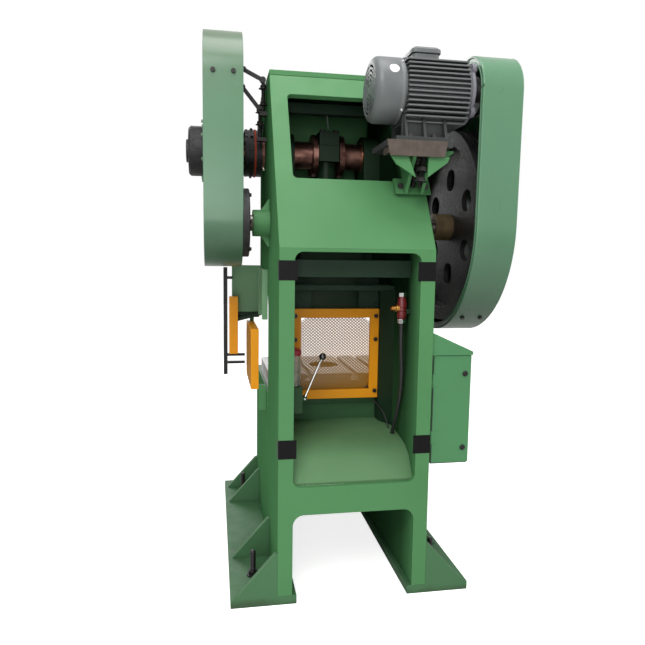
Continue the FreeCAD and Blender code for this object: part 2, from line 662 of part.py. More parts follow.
def slide():
    front = f"({FRONT_INSIDE} + slide_gap)"
    block = box("slide_width", f"slide_back - {front}", "slide_tall", "-slide_width / 2",
                front, "slide_low")
    cavity = box("cavity_width", "2 * cavity_half_depth", "slide_tall", "-cavity_width / 2",
                 "crank_y - cavity_half_depth", "cavity_floor")
    shank = rod("shank_radius", "knock_slot_low - slide_low", "0", "crank_y", "slide_low")
    knock = box("slide_width", "knock_slot_depth", "knock_slot_tall", "-slide_width / 2",
                "crank_y - knock_slot_depth / 2", "knock_slot_low")
    keep("slide", cut(block, cavity, shank, knock))
    bar = box("knock_bar_length", "knock_bar_depth", "knock_bar_height",
              "-knock_bar_length / 2", "crank_y - knock_bar_depth / 2",
              "knock_slot_low + knock_gap")
    keep("knock_out_bar", bar)
    clamp = box("clamp_width", "clamp_depth", "clamp_tall", "-clamp_width / 2",
                f"{front} - clamp_depth", "slide_low + clamp_drop")
    bolts = [small_bolt("small_head", f"{sign} * clamp_width / 3", f"{front} - clamp_depth",
                        "slide_low + clamp_tall / 2", "-Y") for sign in (1, -1)]
    keep("shank_clamp", group(clamp, *[cut(each, clamp) for each in bolts]))


def guide(side):
    """Side guide of the slide and the keeper plate in front of it."""
    sign = SIDES[side]
    tall = "guide_top - guide_low"
    inner = "(slide_width / 2 + slide_gap)"
    width = f"{CHEEK_INNER} - {inner}"
    left = inner if sign > 0 else f"-{CHEEK_INNER}"
    rail = box(width, "guide_depth", tall, left, FRONT_INSIDE, "guide_low")
    left = "keeper_inner" if sign > 0 else f"-{HALF_FRAME}"
    keeper = box(f"{HALF_FRAME} - keeper_inner", "skin", tall, left, "head_front", "guide_low")
    return group(rail, keeper)


def keeper_bolts():
    rows = 5
    bolts = []
    for sign in SIDES.values():
        for row in range(rows):
            height = f"guide_low + (guide_top - guide_low) * {row + 0.5} / {rows}"
            bolts.append(hexagon("small_flats", "small_head",
                                 f"{sign} * (keeper_inner + {CHEEK_INNER}) / 2",
                                 "head_front", height, "-Y"))
    return bolts


# Gears

def involute_outline(teeth, turn):
    """Wire of a spur gear with stub teeth, in the plane X = 0 round the origin."""
    module = size("gear_module")
    pitch = module * teeth / 2
    base = pitch * math.cos(math.radians(20))
    tip = pitch + 0.8 * module
    root = pitch - module
    half = (math.pi * module / 2 - size("tooth_backlash")) / (2 * pitch)
    rolled = math.tan(math.radians(20)) - math.radians(20)
    start = max(base, root)
    flank = []
    for step in range(5):
        radius = start + (tip - start) * step / 4
        angle = math.acos(min(1, base / radius))
        flank.append((radius, half + rolled - (math.tan(angle) - angle)))
    side = [(root, flank[0][1])] + flank if root < start else flank
    points = []
    for tooth in range(teeth):
        middle = turn + 2 * math.pi * tooth / teeth
        for radius, away in side:
            points.append((radius, middle - away))
        for radius, away in reversed(side):
            points.append((radius, middle + away))
    corners = [Vector(0, radius * math.cos(angle), radius * math.sin(angle))
               for radius, angle in points]
    return Part.makePolygon(corners + corners[:1])


def toothed(teeth, turn, start, width, bore):
    face = Part.Face([involute_outline(teeth, turn)])
    rim = face.extrude(Vector(width, 0, 0))
    rim.translate(Vector(start, 0, 0))
    shaft = Part.makeCylinder(bore, width, Vector(start, 0, 0), Vector(1, 0, 0))
    return rim.cut(shaft)


def drive_z():
    run = size("drive_y") - size("crank_y")
    centres = size("gear_module") * (size("gear_teeth") + size("pinion_teeth")) / 2
    return size("crank_z") - math.sqrt(centres ** 2 - run ** 2)


def bull_gear():
    start, width, bore = size("gear_start"), size("gear_width"), size("main_radius")
    toward = math.atan2(drive_z() - size("crank_z"), size("drive_y") - size("crank_y"))
    wheel = toothed(int(size("gear_teeth")), toward, start, width, bore)
    axis = Vector(1, 0, 0)
    inset = size("gear_web_inset")
    rim = size("gear_module") * (size("gear_teeth") / 2 - 5)
    hub = size("gear_hub_radius")
    for face in (start, start + width - inset):
        hollow = Part.makeCylinder(rim, inset, Vector(face, 0, 0), axis)
        wheel = wheel.cut(hollow.cut(Part.makeCylinder(hub, inset, Vector(face, 0, 0), axis)))
    for step in range(6):
        angle = math.radians(60 * step)
        circle = size("gear_hole_circle")
        place = Vector(start, circle * math.cos(angle), circle * math.sin(angle))
        wheel = wheel.cut(Part.makeCylinder(size("gear_hole_radius"), width, place, axis))
    early = start - size("gear_hub_start")
    boss = Part.makeCylinder(hub, early, Vector(size("gear_hub_start"), 0, 0), axis)
    boss = boss.cut(Part.makeCylinder(bore, early, Vector(size("gear_hub_start"), 0, 0), axis))
    place_feature("bull_gear", wheel.fuse(boss), size("crank_y"), size("crank_z"))


def pinion():
    teeth = int(size("pinion_teeth"))
    extra = size("pinion_extra")
    toward = math.atan2(size("crank_z") - drive_z(), size("crank_y") - size("drive_y"))
    shape = toothed(teeth, toward + math.pi / teeth, size("gear_start") - extra,
                    size("gear_width") + 2 * extra, size("shaft_radius"))
    place_feature("pinion", shape, size("drive_y"), drive_z())


def place_feature(label, shape, y, z):
    part = doc.addObject("Part::Feature", label)
    part.Shape = shape
    part.Placement = FreeCAD.Placement(Vector(0, y, z), Rotation())
    keep(label, part)


def crank_attachments():
    disc = ring("clutch_start", "clutch_start + clutch_width", "main_radius", "clutch_radius")
    keep("clutch_disc", group(turned(disc, "crank_y", "crank_z"), *clutch_bolts()))
    end = "(gear_start + gear_width)"
    outline = [
        (end, "0"), ("hub_end", "0"), ("hub_end", "hub_radius - hub_chamfer"),
        ("hub_end - hub_chamfer", "hub_radius"), ("hub_shoulder", "hub_radius"),
        ("hub_shoulder", "hub_neck_radius"), (end, "hub_neck_radius"),
    ]
    end_plate = rod("hub_plate_radius", "hub_plate_thickness", "hub_end", "crank_y",
                    "crank_z", "X")
    keep("crank_end_hub", group(turned(outline, "crank_y", "crank_z"), end_plate))


def clutch_bolts():
    count = 8
    bolts = []
    for step in range(count):
        angle = 2 * math.pi * (step + 0.5) / count
        bolts.append(hexagon("small_flats", "small_head", "clutch_start + clutch_width",
                             f"crank_y + clutch_radius * 0.8 * {math.cos(angle):.6f}",
                             f"crank_z + clutch_radius * 0.8 * {math.sin(angle):.6f}", "X"))
    return bolts


def brake_block():
    """Friction block above the clutch disc, on the cheek."""
    keep("brake_block", box("30", "70", "26", HALF_FRAME, "crank_y - 35",
                            "crank_z + clutch_radius + 3"))


# Drive shaft

def drive_shaft():
    keep("drive_shaft", rod("shaft_radius", "shaft_gear_end + shaft_wheel_end",
                            "-shaft_wheel_end", "drive_y", DRIVE_Z, "X"))


def shaft_boss(side):
    sign = SIDES[side]
    start = HALF_FRAME if sign > 0 else f"-({HALF_FRAME} + boss_length)"
    tube = rod("boss_radius", "boss_length", start, "drive_y", DRIVE_Z, "X")
    ribs = []
    for way in (1, -1):
        rib = primitive("Part::Wedge", Xmin="0", Xmax="boss_length", Ymin="0",
                        Ymax="boss_radius + boss_rib_rise", Zmin="0", Zmax="boss_rib",
                        X2min="0", X2max="6", Z2min="0", Z2max="boss_rib")
        turn = Rotation(Vector(1, 0, 0), 90 * way)
        if sign < 0:
            turn = Rotation(Vector(0, 0, 1), 180) * turn
        rib.Placement = FreeCAD.Placement(Vector(), turn)
        shift = "boss_rib / 2" if way * sign > 0 else "-boss_rib / 2"
        ribs.append(bind(rib, x=f"{sign} * {HALF_FRAME}", y=f"drive_y + {shift}", z=DRIVE_Z))
    bore = rod("bearing_radius", "boss_length", start, "drive_y", DRIVE_Z, "X")
    return cut(fuse(tube, *ribs), bore)


def shaft_bearing(side):
    sign = SIDES[side]
    start, end = CHEEK_INNER, f"({HALF_FRAME} + boss_length)"
    if sign < 0:
        start, end = f"-{end}", f"-{start}"
    return turned(ring(start, end, "shaft_radius + running_gap", "bearing_radius"),
                  "drive_y", DRIVE_Z)


def flange_disc():
    """Dark disc that closes the gear guard round the drive shaft's boss."""
    start = "(gear_guard_inner - flange_disc_thickness)"
    disc = ring(start, "gear_guard_inner", "shaft_radius + 14", "flange_disc_radius")
    return turned(disc, "drive_y", DRIVE_Z)


# Flywheel, pulley and belts

def groove_centres():
    """Distances of the belt grooves from the middle of the rim."""
    count = int(size("belt_count"))
    return [f"{index - (count - 1) / 2} * belt_pitch" for index in range(count)]


def grooved(outer, tube_radius, depth):
    """Outline of a grooved rim from its outer corner to its inner corner, along -X."""
    middle = "(0 - wheel_start - wheel_width / 2)"
    half = "(belt_width / 2 + belt_gap)"
    points = [("-wheel_start - wheel_width", tube_radius), ("-wheel_start - wheel_width", outer)]
    for centre in groove_centres():
        for edge, radius in ((f"-{half}", outer), (f"-{half}", depth), (half, depth),
                             (half, outer)):
            points.append((f"{middle} + {centre} + {edge}", radius))
    points += [("-wheel_start", outer), ("-wheel_start", tube_radius)]
    return points


def flywheel():
    web = ["wheel_start + wheel_width / 2 - wheel_web / 2",
           "wheel_start + wheel_width / 2 + wheel_web / 2"]
    rim = "wheel_radius - wheel_rim"
    outline = grooved("wheel_radius", rim, "wheel_radius - belt_height - belt_gap")
    outline += [(f"-({web[0]})", rim), (f"-({web[0]})", "wheel_hub_radius"),
                (f"-({web[1]})", "wheel_hub_radius"), (f"-({web[1]})", rim)]
    body = turned(outline, "drive_y", DRIVE_Z)
    sketch = sketch_on(body, "YZ", f"-({web[1]}) - 1")
    half_length = "(wheel_hole_length / 2)"
    far = "wheel_hole_circle + wheel_hole_radius"
    near = "wheel_hole_circle - wheel_hole_radius"
    add_loop(sketch, rectangle(f"-{half_length}", half_length, near, far))
    pocket = body.newObject("PartDesign::Pocket", "wheel_hole")
    pocket.Profile = sketch
    pocket.setExpression("Length", formula("wheel_web + 2"))
    pocket.Reversed = True
    doc.recompute()
    names = corner_edges(pocket.Shape, sketch, range(4))
    fillet = body.newObject("PartDesign::Fillet", "wheel_hole_round")
    fillet.Base = (pocket, names)
    fillet.setExpression("Radius", formula("wheel_hole_radius * 0.85"))
    turns = body.newObject("PartDesign::PolarPattern", "wheel_holes")
    turns.Originals = [pocket, fillet]
    turns.Axis = (origin_axis(body), [""])
    turns.Angle = 360
    turns.setExpression("Occurrences", formula("wheel_hole_count"))
    body.Tip = turns
    keep("flywheel", body)


def origin_axis(body):
    for axis in body.Origin.OriginFeatures:
        if axis.Role == "X_Axis":
            return axis
    raise ValueError("X_Axis")


def flywheel_hub():
    hub = ring("-wheel_start - wheel_width", "-wheel_hub_start", "shaft_radius",
               "wheel_hub_radius")
    keep("flywheel_hub", turned(hub, "drive_y", DRIVE_Z))


def motor_pulley():
    outline = grooved("pulley_radius", "pulley_bore", "pulley_radius - belt_height - belt_gap")
    keep("motor_pulley", turned(outline, MOTOR_Y, "motor_z"))


def loop_wire(big, small, across, up):
    """Two arcs and their tangents: big round the origin, small round (across, up)."""
    reach = math.hypot(across, up)
    toward = math.atan2(up, across)
    open_angle = math.acos((big - small) / reach)
    ends = []
    for way in (1, -1):
        unit = Vector(0, math.cos(toward + way * open_angle), math.sin(toward + way * open_angle))
        ends.append((unit * big, Vector(0, across, up) + unit * small))
    line = Vector(0, math.cos(toward), math.sin(toward))
    far_big, far_small = line * -big, Vector(0, across, up) + line * small
    edges = [
        Part.Arc(ends[0][0], far_big, ends[1][0]).toShape(),
        Part.LineSegment(ends[1][0], ends[1][1]).toShape(),
        Part.Arc(ends[1][1], far_small, ends[0][1]).toShape(),
        Part.LineSegment(ends[0][1], ends[0][0]).toShape(),
    ]
    return Part.Wire(edges)


def loop_solid(big, small, start, width):
    across = size("base_depth") / 2 - size("motor_setback") - size("drive_y")
    up = size("motor_z") - drive_z()
    face = Part.Face(loop_wire(big, small, across, up))
    solid = face.extrude(Vector(width, 0, 0))
    solid.translate(Vector(start, 0, 0))
    return solid


def belts():
    height, gap, width = size("belt_height"), size("belt_gap"), size("belt_width")
    big, small = size("wheel_radius"), size("pulley_radius")
    middle = -size("wheel_start") - size("wheel_width") / 2
    count = int(size("belt_count"))
    loops = []
    for index in range(count):
        start = middle + (index - (count - 1) / 2) * size("belt_pitch") - width / 2
        outside = loop_solid(big + gap, small + gap, start, width)
        inside = loop_solid(big + gap - height, small + gap - height, start, width)
        loops.append(outside.cut(inside))
    place_feature("v_belts", Part.makeCompound(loops), size("drive_y"), drive_z())


# Motor

def motor_frame():
    start = "(0 - motor_cowl_end - cowl_length - motor_frame_length)"
    core = rod("motor_core_radius", "motor_frame_length", start, MOTOR_Y, "motor_z", "X")
    fins = []
    pairs = int(size("motor_fin_pairs"))
    for step in range(pairs):
        fin = primitive("Part::Box", Length="motor_frame_length - 24",
                        Width="2 * motor_fin_radius", Height="motor_fin")
        angle = 180 * (step + 0.5) / pairs
        turn = Rotation(Vector(1, 0, 0), angle)
        fin.Placement = FreeCAD.Placement(Vector(), turn)
        cosine, sine = math.cos(math.radians(angle)), math.sin(math.radians(angle))
        bind(fin, x=f"{start} + 12",
             y=f"{MOTOR_Y} - motor_fin_radius * {cosine:.6f} + motor_fin / 2 * {sine:.6f}",
             z=f"motor_z - motor_fin_radius * {sine:.6f} - motor_fin / 2 * {cosine:.6f}")
        fins.append(fin)
    hollow = rod("motor_core_radius - 18", "motor_frame_length", start, MOTOR_Y, "motor_z",
                 "X")
    feet = []
    for way in (1, -1):
        y = f"{MOTOR_Y} + foot_across / 2 - foot_width" if way > 0 else f"{MOTOR_Y} - foot_across / 2"
        feet.append(box("motor_frame_length - 60", "foot_width", "foot_thickness",
                        f"{start} + 30", y, MOTOR_PLATE_TOP))
        wall = f"{MOTOR_Y} + foot_across / 2 - foot_width" if way > 0 else (
            f"{MOTOR_Y} - foot_across / 2 + foot_width - 16")
        feet.append(box("motor_frame_length - 90", "16", "motor_foot - 70", f"{start} + 45",
                        wall, MOTOR_PLATE_TOP))
    keep("motor_frame", cut(fuse(core, *fins, *feet), hollow))


def motor_ends():
    rear = "(0 - motor_cowl_end - cowl_length)"
    shell = [
        (rear, "cowl_radius"), (rear, "cowl_radius - cowl_sheet"),
        ("-motor_cowl_end - cowl_sheet - 14", "cowl_radius - cowl_sheet"),
        ("-motor_cowl_end - cowl_sheet", "cowl_radius - cowl_sheet - 18"),
        ("-motor_cowl_end - cowl_sheet", "0"), ("-motor_cowl_end", "0"),
        ("-motor_cowl_end", "cowl_radius - 20"), ("-motor_cowl_end - 16", "cowl_radius"),
    ]
    cowl = turned(shell, MOTOR_Y, "motor_z")
    front = f"({rear} - motor_frame_length)"
    bell = [
        (f"{front} - bell_length", "pulley_bore + 2"), (front, "pulley_bore + 2"),
        (front, "bell_radius"), (f"{front} - bell_length * 0.6", "bell_radius"),
        (f"{front} - bell_length", "bell_radius * 0.7"),
    ]
    keep("motor_covers", group(cowl, turned(bell, MOTOR_Y, "motor_z")))


def motor_rotor():
    fan_start = "(0 - motor_cowl_end - cowl_sheet - 22)"
    far = "(0 - wheel_start - wheel_width)"
    shaft = rod("pulley_bore", f"{fan_start} - {far}", far, MOTOR_Y, "motor_z", "X")
    fan = turned(ring(f"{fan_start} - fan_width - 8", f"{fan_start} - 8", "pulley_bore",
                      "fan_radius"), MOTOR_Y, "motor_z")
    keep("motor_shaft", group(shaft, fan))


def terminal_box():
    seat = "(motor_z + motor_core_radius)"
    front = f"({MOTOR_Y} - terminal_depth / 2)"
    left = "-terminal_x - terminal_width / 2"
    case = box("terminal_width", "terminal_depth", "terminal_tall", left, front, seat)
    body = rod("motor_fin_radius", "terminal_width", left, MOTOR_Y, "motor_z", "X")
    lid = box("terminal_width + 2 * lid_overhang", "terminal_depth + 2 * lid_overhang",
              "lid_thickness", f"{left} - lid_overhang",
              f"{front} - lid_overhang", f"{seat} + terminal_tall")
    gland = rod("gland_radius", "gland_length", "-terminal_x", f"{front} - gland_length",
                f"{seat} + terminal_tall - gland_radius", "Y")
    keep("terminal_box", group(cut(case, body), lid, gland))


def motor_bracket():
    keep("motor_plate", box("motor_plate_right - motor_plate_left", "motor_plate_depth",
                            "motor_plate_thickness", "-motor_plate_right",
                            f"{MOTOR_Y} - motor_plate_depth / 2",
                            f"{MOTOR_PLATE_TOP} - motor_plate_thickness"))
    under = f"({MOTOR_PLATE_TOP} - motor_plate_thickness)"
    low = BRACKET_FOOT
    high = f"({low} + bracket_foot_tall)"
    base = plate("YZ", "-bracket_right", "bracket_right - bracket_left", [
        (slope_y(low), low), (f"{slope_y(low)} + bracket_base", low),
        (f"{slope_y(high)} + bracket_base", high), (slope_y(high), high)])
    webs = []
    rear = f"{MOTOR_Y} + motor_plate_depth / 2 - bracket_edge"
    for left in ("-bracket_left - bracket_web_inset - bracket_web",
                 "-bracket_right + bracket_web_inset"):
        webs.append(plate("YZ", left, "bracket_web", [
            (f"{slope_y(low)} + bracket_base", low), (rear, f"{under} - bracket_edge"),
            (rear, under), (f"{MOTOR_Y} - motor_plate_depth / 2 + bracket_edge", under),
            (f"{slope_y(high)} + bracket_base", high)]))
    wings = []
    wing_low = f"{under} - bracket_wing_drop"
    for inner, outer in (("-bracket_left - bracket_web_inset", "-motor_plate_left"),
                         ("-bracket_right + bracket_web_inset", "-motor_plate_right")):
        wings.append(plate("XZ", "-bracket_wing_y", "bracket_wing",
                           [(inner, wing_low), (outer, f"{under} - bracket_edge / 2"),
                            (outer, under), (inner, under)]))
    keep("motor_bracket", fuse(base, *webs, *wings, tension_screw()))


def tension_screw():
    """Slanting screw between the bracket's foot and the motor plate, with its two nuts."""
    height = f"({BRACKET_FOOT} + bracket_foot_tall / 2)"
    reach = f"({MOTOR_PLATE_TOP} - motor_plate_thickness - tension_radius - {height})"
    pieces = [(primitive("Part::Cylinder", Radius="tension_radius",
                         Height=f"{reach} / cos(tension_lean)"), 0)]
    for share in (0.3, 0.75):
        nut = primitive("Part::Prism", Height="tension_radius * 1.6")
        pieces.append((bind(nut, Circumradius="tension_radius * 1.9"), share))
    for piece, share in pieces:
        piece.Placement = FreeCAD.Placement(Vector(), Rotation(Vector(-1, 0, 0), 45))
        piece.setExpression("Placement.Rotation.Angle", formula("tension_lean"))
        bind(piece, x="-(bracket_left + bracket_right) / 2",
             y=f"{slope_y(height)} + bracket_base + {share} * {reach} * tan(tension_lean)",
             z=f"{height} + {share} * {reach}")
    return fuse(*[piece for piece, share in pieces])


def bracket_bolts():
    height = f"({BRACKET_FOOT} + bracket_foot_tall / 2)"
    return [hexagon("bracket_flats", "bracket_flats / 2", x, f"{slope_y(height)} + bracket_base",
                    height, "Y") for x in ("-bracket_left - bracket_flats",
                                           "-bracket_right + bracket_flats")]


# Sheet guards

def gear_guard():
    """Drum of sheet round the gears: rim, outer face and inner face."""
    outline = rectangle("gear_guard_front", "gear_guard_rear", "gear_guard_low",
                        "gear_guard_top")
    corners = {"gear_guard_radius": [0, 1, 2, 3]}
    drum = plate("YZ", "gear_guard_inner", "gear_guard_outer - gear_guard_inner", outline,
                 rounds=corners)
    inside = rectangle("gear_guard_front + guard_sheet", "gear_guard_rear - guard_sheet",
                       "gear_guard_low + guard_sheet", "gear_guard_top - guard_sheet")
    space = plate("YZ", "gear_guard_inner + guard_sheet",
                  "gear_guard_outer - gear_guard_inner - 2 * guard_sheet", inside,
                  rounds={"gear_guard_radius - guard_sheet": [0, 1, 2, 3]})
    crank_hole = rod("guard_shaft_hole", "gear_guard_outer - gear_guard_inner + 20",
                     "gear_guard_inner - 10", "crank_y", "crank_z", "X")
    drive_hole = rod("shaft_radius + 14", "40", "gear_guard_inner - 10", "drive_y", DRIVE_Z,
                     "X")
    keep("gear_guard", cut(drum, space, crank_hole, drive_hole))


def guard_stays():
    """Two diagonal stays from the head to the gear guard, on a standing threaded rod."""
    y = "(gear_guard_rear - stay_setback)"
    x = f"({HALF_FRAME} + stay_stand)"
    low = f"({UNDER_TOP} - stay_post_length)"
    post = rod("stay_post_radius", "stay_post_length", x, y, low)
    foot_block = box("2 * stay_stand", "3 * stay_stand", "stay_thickness", HALF_FRAME,
                     f"{y} - 1.5 * stay_stand", low)
    nuts = [hexagon("stay_nut", "stay_nut / 2", x, y, f"{UNDER_TOP} - {share} * stay_pitch")
            for share in (0.8, 1.2)]
    stays = []
    start = f"{x} + stay_post_radius"
    for step in (0, 1):
        inner = f"({UNDER_TOP} - stay_drop - {step} * stay_pitch)"
        outer = f"({inner} + stay_rise)"
        stays.append(plate("XZ", f"-{y} - stay_width / 2", "stay_width", [
            (start, f"{inner} - stay_thickness / 2"),
            ("gear_guard_inner", f"{outer} - stay_thickness / 2"),
            ("gear_guard_inner", f"{outer} + stay_thickness / 2"),
            (start, f"{inner} + stay_thickness / 2")]))
    keep("guard_stays", group(fuse(post, foot_block, *nuts), *stays, flange_disc()))


def gear_guard_bolts():
    height = "gear_guard_top - gear_guard_radius"
    return [hexagon("small_flats", "small_head",
                    f"gear_guard_inner + {share} * (gear_guard_outer - gear_guard_inner)",
                    "gear_guard_rear", height, "Y") for share in (0.25, 0.75)]


def belt_guard():
    """Egg-shaped guard round the belts: rim, outer face, and a lip on the open side."""
    sheet_wall = size("guard_sheet")
    inner = size("belt_guard_inner")
    outer = size("wheel_start") + size("wheel_width") + size("belt_guard_clear")
    big, small = size("belt_guard_radius"), size("belt_guard_top_radius")
    lip = size("belt_guard_lip")
    drum = loop_solid(big, small, -outer, outer - inner)
    space = loop_solid(big - sheet_wall, small - sheet_wall, -outer + sheet_wall,
                       outer - inner - 2 * sheet_wall)
    mouth = loop_solid(big - lip, small - lip, -inner - 2 * sheet_wall, 4 * sheet_wall)
    place_feature("belt_guard", drum.cut(space).cut(mouth), size("drive_y"), drive_z())


def belt_guard_straps():
    """Straps that carry the lip of the belt guard from the cheek."""
    circle = "(belt_guard_radius - belt_guard_lip / 2)"
    straps = []
    for angle in (145, 215):
        straps.append(box(f"belt_guard_inner - {HALF_FRAME}", "strap_thickness", "strap_width",
                          "-belt_guard_inner",
                          f"drive_y + {circle} * cos({angle}) - strap_thickness / 2",
                          f"{DRIVE_Z} + {circle} * sin({angle}) - strap_width / 2"))
    return straps


def belt_guard_bolts():
    """Two bolt heads that stand square on the guard's rim, low at the rear."""
    angle = "belt_bolt_angle"
    bolts = []
    for share in (0.25, 0.75):
        head = hexagon("small_flats", "small_head",
                       f"-belt_guard_inner - {share} * ({BELT_GUARD_OUTER} - belt_guard_inner)",
                       f"drive_y + belt_guard_radius * cos({angle})",
                       f"{DRIVE_Z} - belt_guard_radius * sin({angle})")
        head.Placement = FreeCAD.Placement(Vector(), Rotation(Vector(-1, 0, 0), 90))
        head.setExpression("Placement.Rotation.Angle", formula(f"90 + {angle}"))
        bolts.append(head)
    return bolts


# Mesh guards and light curtain

def frame_bars(plane, start, thickness, left, right, low, high, bar):
    inner = rectangle(f"{left} + {bar}", f"{right} - {bar}", f"{low} + {bar}", f"{high} - {bar}")
    return plate(plane, start, thickness, rectangle(left, right, low, high), [inner])


def liner_inside():
    """Distance from the middle of the frame to a throat liner."""
    return size("frame_width") / 2 - size("cheek_thickness") - size("liner_inset")


def mesh_shape(width, height, corner, turn):
    """Expanded metal: a sheet with staggered diamond openings, in the XZ plane."""
    long_pitch, short_pitch = size("mesh_long"), size("mesh_short")
    strand, sheet_wall = size("mesh_strand"), size("mesh_sheet")
    row_pitch = short_pitch / 2
    columns = int((width - strand) / long_pitch)
    rows = int((height - strand) / row_pitch) - 1
    shift_x = (width - (columns - 1) * long_pitch) / 2
    shift_z = (height - (rows - 1) * row_pitch) / 2
    spread = strand / 2 * math.hypot(long_pitch, short_pitch)
    half_long = long_pitch / 2 - spread / short_pitch
    half_short = short_pitch / 2 - spread / long_pitch
    border = [Vector(0, 0, 0), Vector(width, 0, 0), Vector(width, 0, height),
              Vector(0, 0, height), Vector(0, 0, 0)]
    wires = [Part.makePolygon(border)]
    for row in range(rows):
        offset = long_pitch / 2 if row % 2 else 0
        for column in range(columns - (row % 2)):
            x = shift_x + column * long_pitch + offset
            z = shift_z + row * row_pitch
            wires.append(Part.makePolygon([
                Vector(x - half_long, 0, z), Vector(x, 0, z + half_short),
                Vector(x + half_long, 0, z), Vector(x, 0, z - half_short),
                Vector(x - half_long, 0, z)]))
    face = Part.Face(wires, "Part::FaceMakerBullseye")
    sheet_metal = face.extrude(Vector(0, sheet_wall, 0))
    sheet_metal.Placement = FreeCAD.Placement(corner, Rotation(Vector(0, 0, 1), turn))
    return sheet_metal


def rear_mesh_guard():
    low, high = "mesh_guard_low", "(mesh_guard_low + mesh_guard_tall)"
    half = f"({LINER_GAP} - 1)"
    y = "(mesh_guard_y + mesh_bar_thickness)"
    bars = frame_bars("XZ", f"-{y}", "mesh_bar_thickness", f"-{half}", half, low, high,
                      "mesh_bar")
    keep("rear_guard_frame", bars)


def rear_guard_heights():
    return [f"(mesh_guard_low + {share} * mesh_guard_tall)" for share in (0.08, 0.66, 0.92)]


def rear_guard_lugs():
    """Lugs on the throat liners that the rear mesh guard is bolted to."""
    lugs = []
    for left in (f"{LINER_GAP} - guard_lug", f"-{LINER_GAP}"):
        for height in rear_guard_heights():
            lugs.append(box("guard_lug", "guard_lug", "guard_lug", left,
                            "mesh_guard_y - guard_lug", f"{height} - guard_lug / 2"))
    return lugs


def rear_guard_bolts():
    return [hexagon("small_flats", "small_head", f"{sign} * ({LINER_GAP} - guard_lug)",
                    "mesh_guard_y + mesh_bar_thickness", height, "Y")
            for sign in SIDES.values() for height in rear_guard_heights()]


def guard_meshes():
    """The expanded-metal panels of the rear guard and of the two side guards."""
    width = 2 * (liner_inside() - 1) - size("mesh_bar")
    height = size("mesh_guard_tall") - size("mesh_bar")
    corner = Vector(-width / 2, size("mesh_guard_y") - size("mesh_sheet"),
                    size("mesh_guard_low") + size("mesh_bar") / 2)
    panels = [mesh_shape(width, height, corner, 0)]
    bar = size("side_guard_bar")
    width = size("side_guard_rear") - size("side_guard_front") - bar
    height = size("side_guard_tall") - bar
    outer = size("frame_width") / 2 + size("side_guard_stand") + size("side_guard_width")
    for x in (outer + size("mesh_sheet"), -outer):
        corner = Vector(x, size("side_guard_front") + bar / 2, size("side_guard_low") + bar / 2)
        panels.append(mesh_shape(width, height, corner, 90))
    place_feature("guard_meshes", Part.makeCompound(panels), 0, 0)


def side_guard(side):
    """Yellow frame of the mesh guard beside the throat."""
    start = "side_guard_x" if SIDES[side] > 0 else "-side_guard_x - side_guard_width"
    return frame_bars("YZ", start, "side_guard_width", "side_guard_front", "side_guard_rear",
                      "side_guard_low", "(side_guard_low + side_guard_tall)", "side_guard_bar")


def side_guard_tabs():
    """Each side guard has a stub post on the cheek and a strut from the outrigger."""
    tabs = []
    for sign in SIDES.values():
        left = HALF_FRAME if sign > 0 else "-side_guard_x"
        tabs.append(box(f"side_guard_x - {HALF_FRAME}", "guard_tab",
                        "side_guard_low - bed_seat + 3 * guard_tab", left,
                        "side_guard_rear - guard_tab", "bed_seat - 2 * guard_tab"))
        left = "side_guard_x" if sign > 0 else "-side_guard_x - guard_tab"
        top = "(side_guard_low + side_guard_tall)"
        tabs.append(box("guard_tab", "guard_tab", f"outrigger_low - {top}", left,
                        "outrigger_front + guard_tab", top))
    return tabs


def light_bar(side):
    left = "curtain_x" if SIDES[side] > 0 else "-curtain_x - curtain_width"
    return box("curtain_width", "curtain_depth", "curtain_tall", left, "curtain_y",
               "curtain_low")


def light_bar_post(side):
    """Black post, hung from the outrigger; the light bar stands on the upper of two arms."""
    sign = SIDES[side]
    post_left = "post_x" if sign > 0 else "-post_x - post_width"
    y = "(curtain_y + curtain_depth / 2 - post_width / 2)"
    post = box("post_width", "post_width", "post_tall", post_left, y, "post_low")
    arm_end = "(side_guard_x + side_guard_width + arm_height)"
    reach = f"(post_x - {arm_end})"
    arm_left = arm_end if sign > 0 else "-post_x"
    arms = [box(reach, "post_width", "arm_height", arm_left, y, height)
            for height in ("curtain_low - arm_height", "curtain_low - arm_height - arm_pitch")]
    outer = f"({HALF_FRAME} + outrigger_reach)"
    hanger_left = outer if sign > 0 else "-post_x"
    hanger_front = "(outrigger_front + outrigger_depth - arm_height)"
    hanger = box(f"post_x - {outer}", f"{y} + post_width - {hanger_front}", "arm_height",
                 hanger_left, hanger_front, "post_low + post_tall - hanger_drop")
    return fuse(post, hanger, *arms)


# Oil pump, air regulator, pipes

def lever_pivot():
    """Two ears on the pump case with the bore of the lever's pin."""
    length = "(lever_stand + lever_boss_radius)"
    start = f"(pump_x - pump_half_width - {length})"
    half = "(lever_boss_length / 2 + lever_gap + lever_ear)"
    block = box(length, f"2 * {half}", "2 * lever_boss_radius", start, f"pump_y - {half}",
                "lever_z - lever_boss_radius")
    slot = box(f"{length} - lever_gap", "lever_boss_length + 2 * lever_gap",
               "2 * lever_boss_radius", start, "pump_y - lever_boss_length / 2 - lever_gap",
               "lever_z - lever_boss_radius")
    bore = rod("lever_pin_radius + running_gap", f"2 * {half}", LEVER_X, f"pump_y - {half}",
               "lever_z", "Y")
    return cut(block, slot, bore)


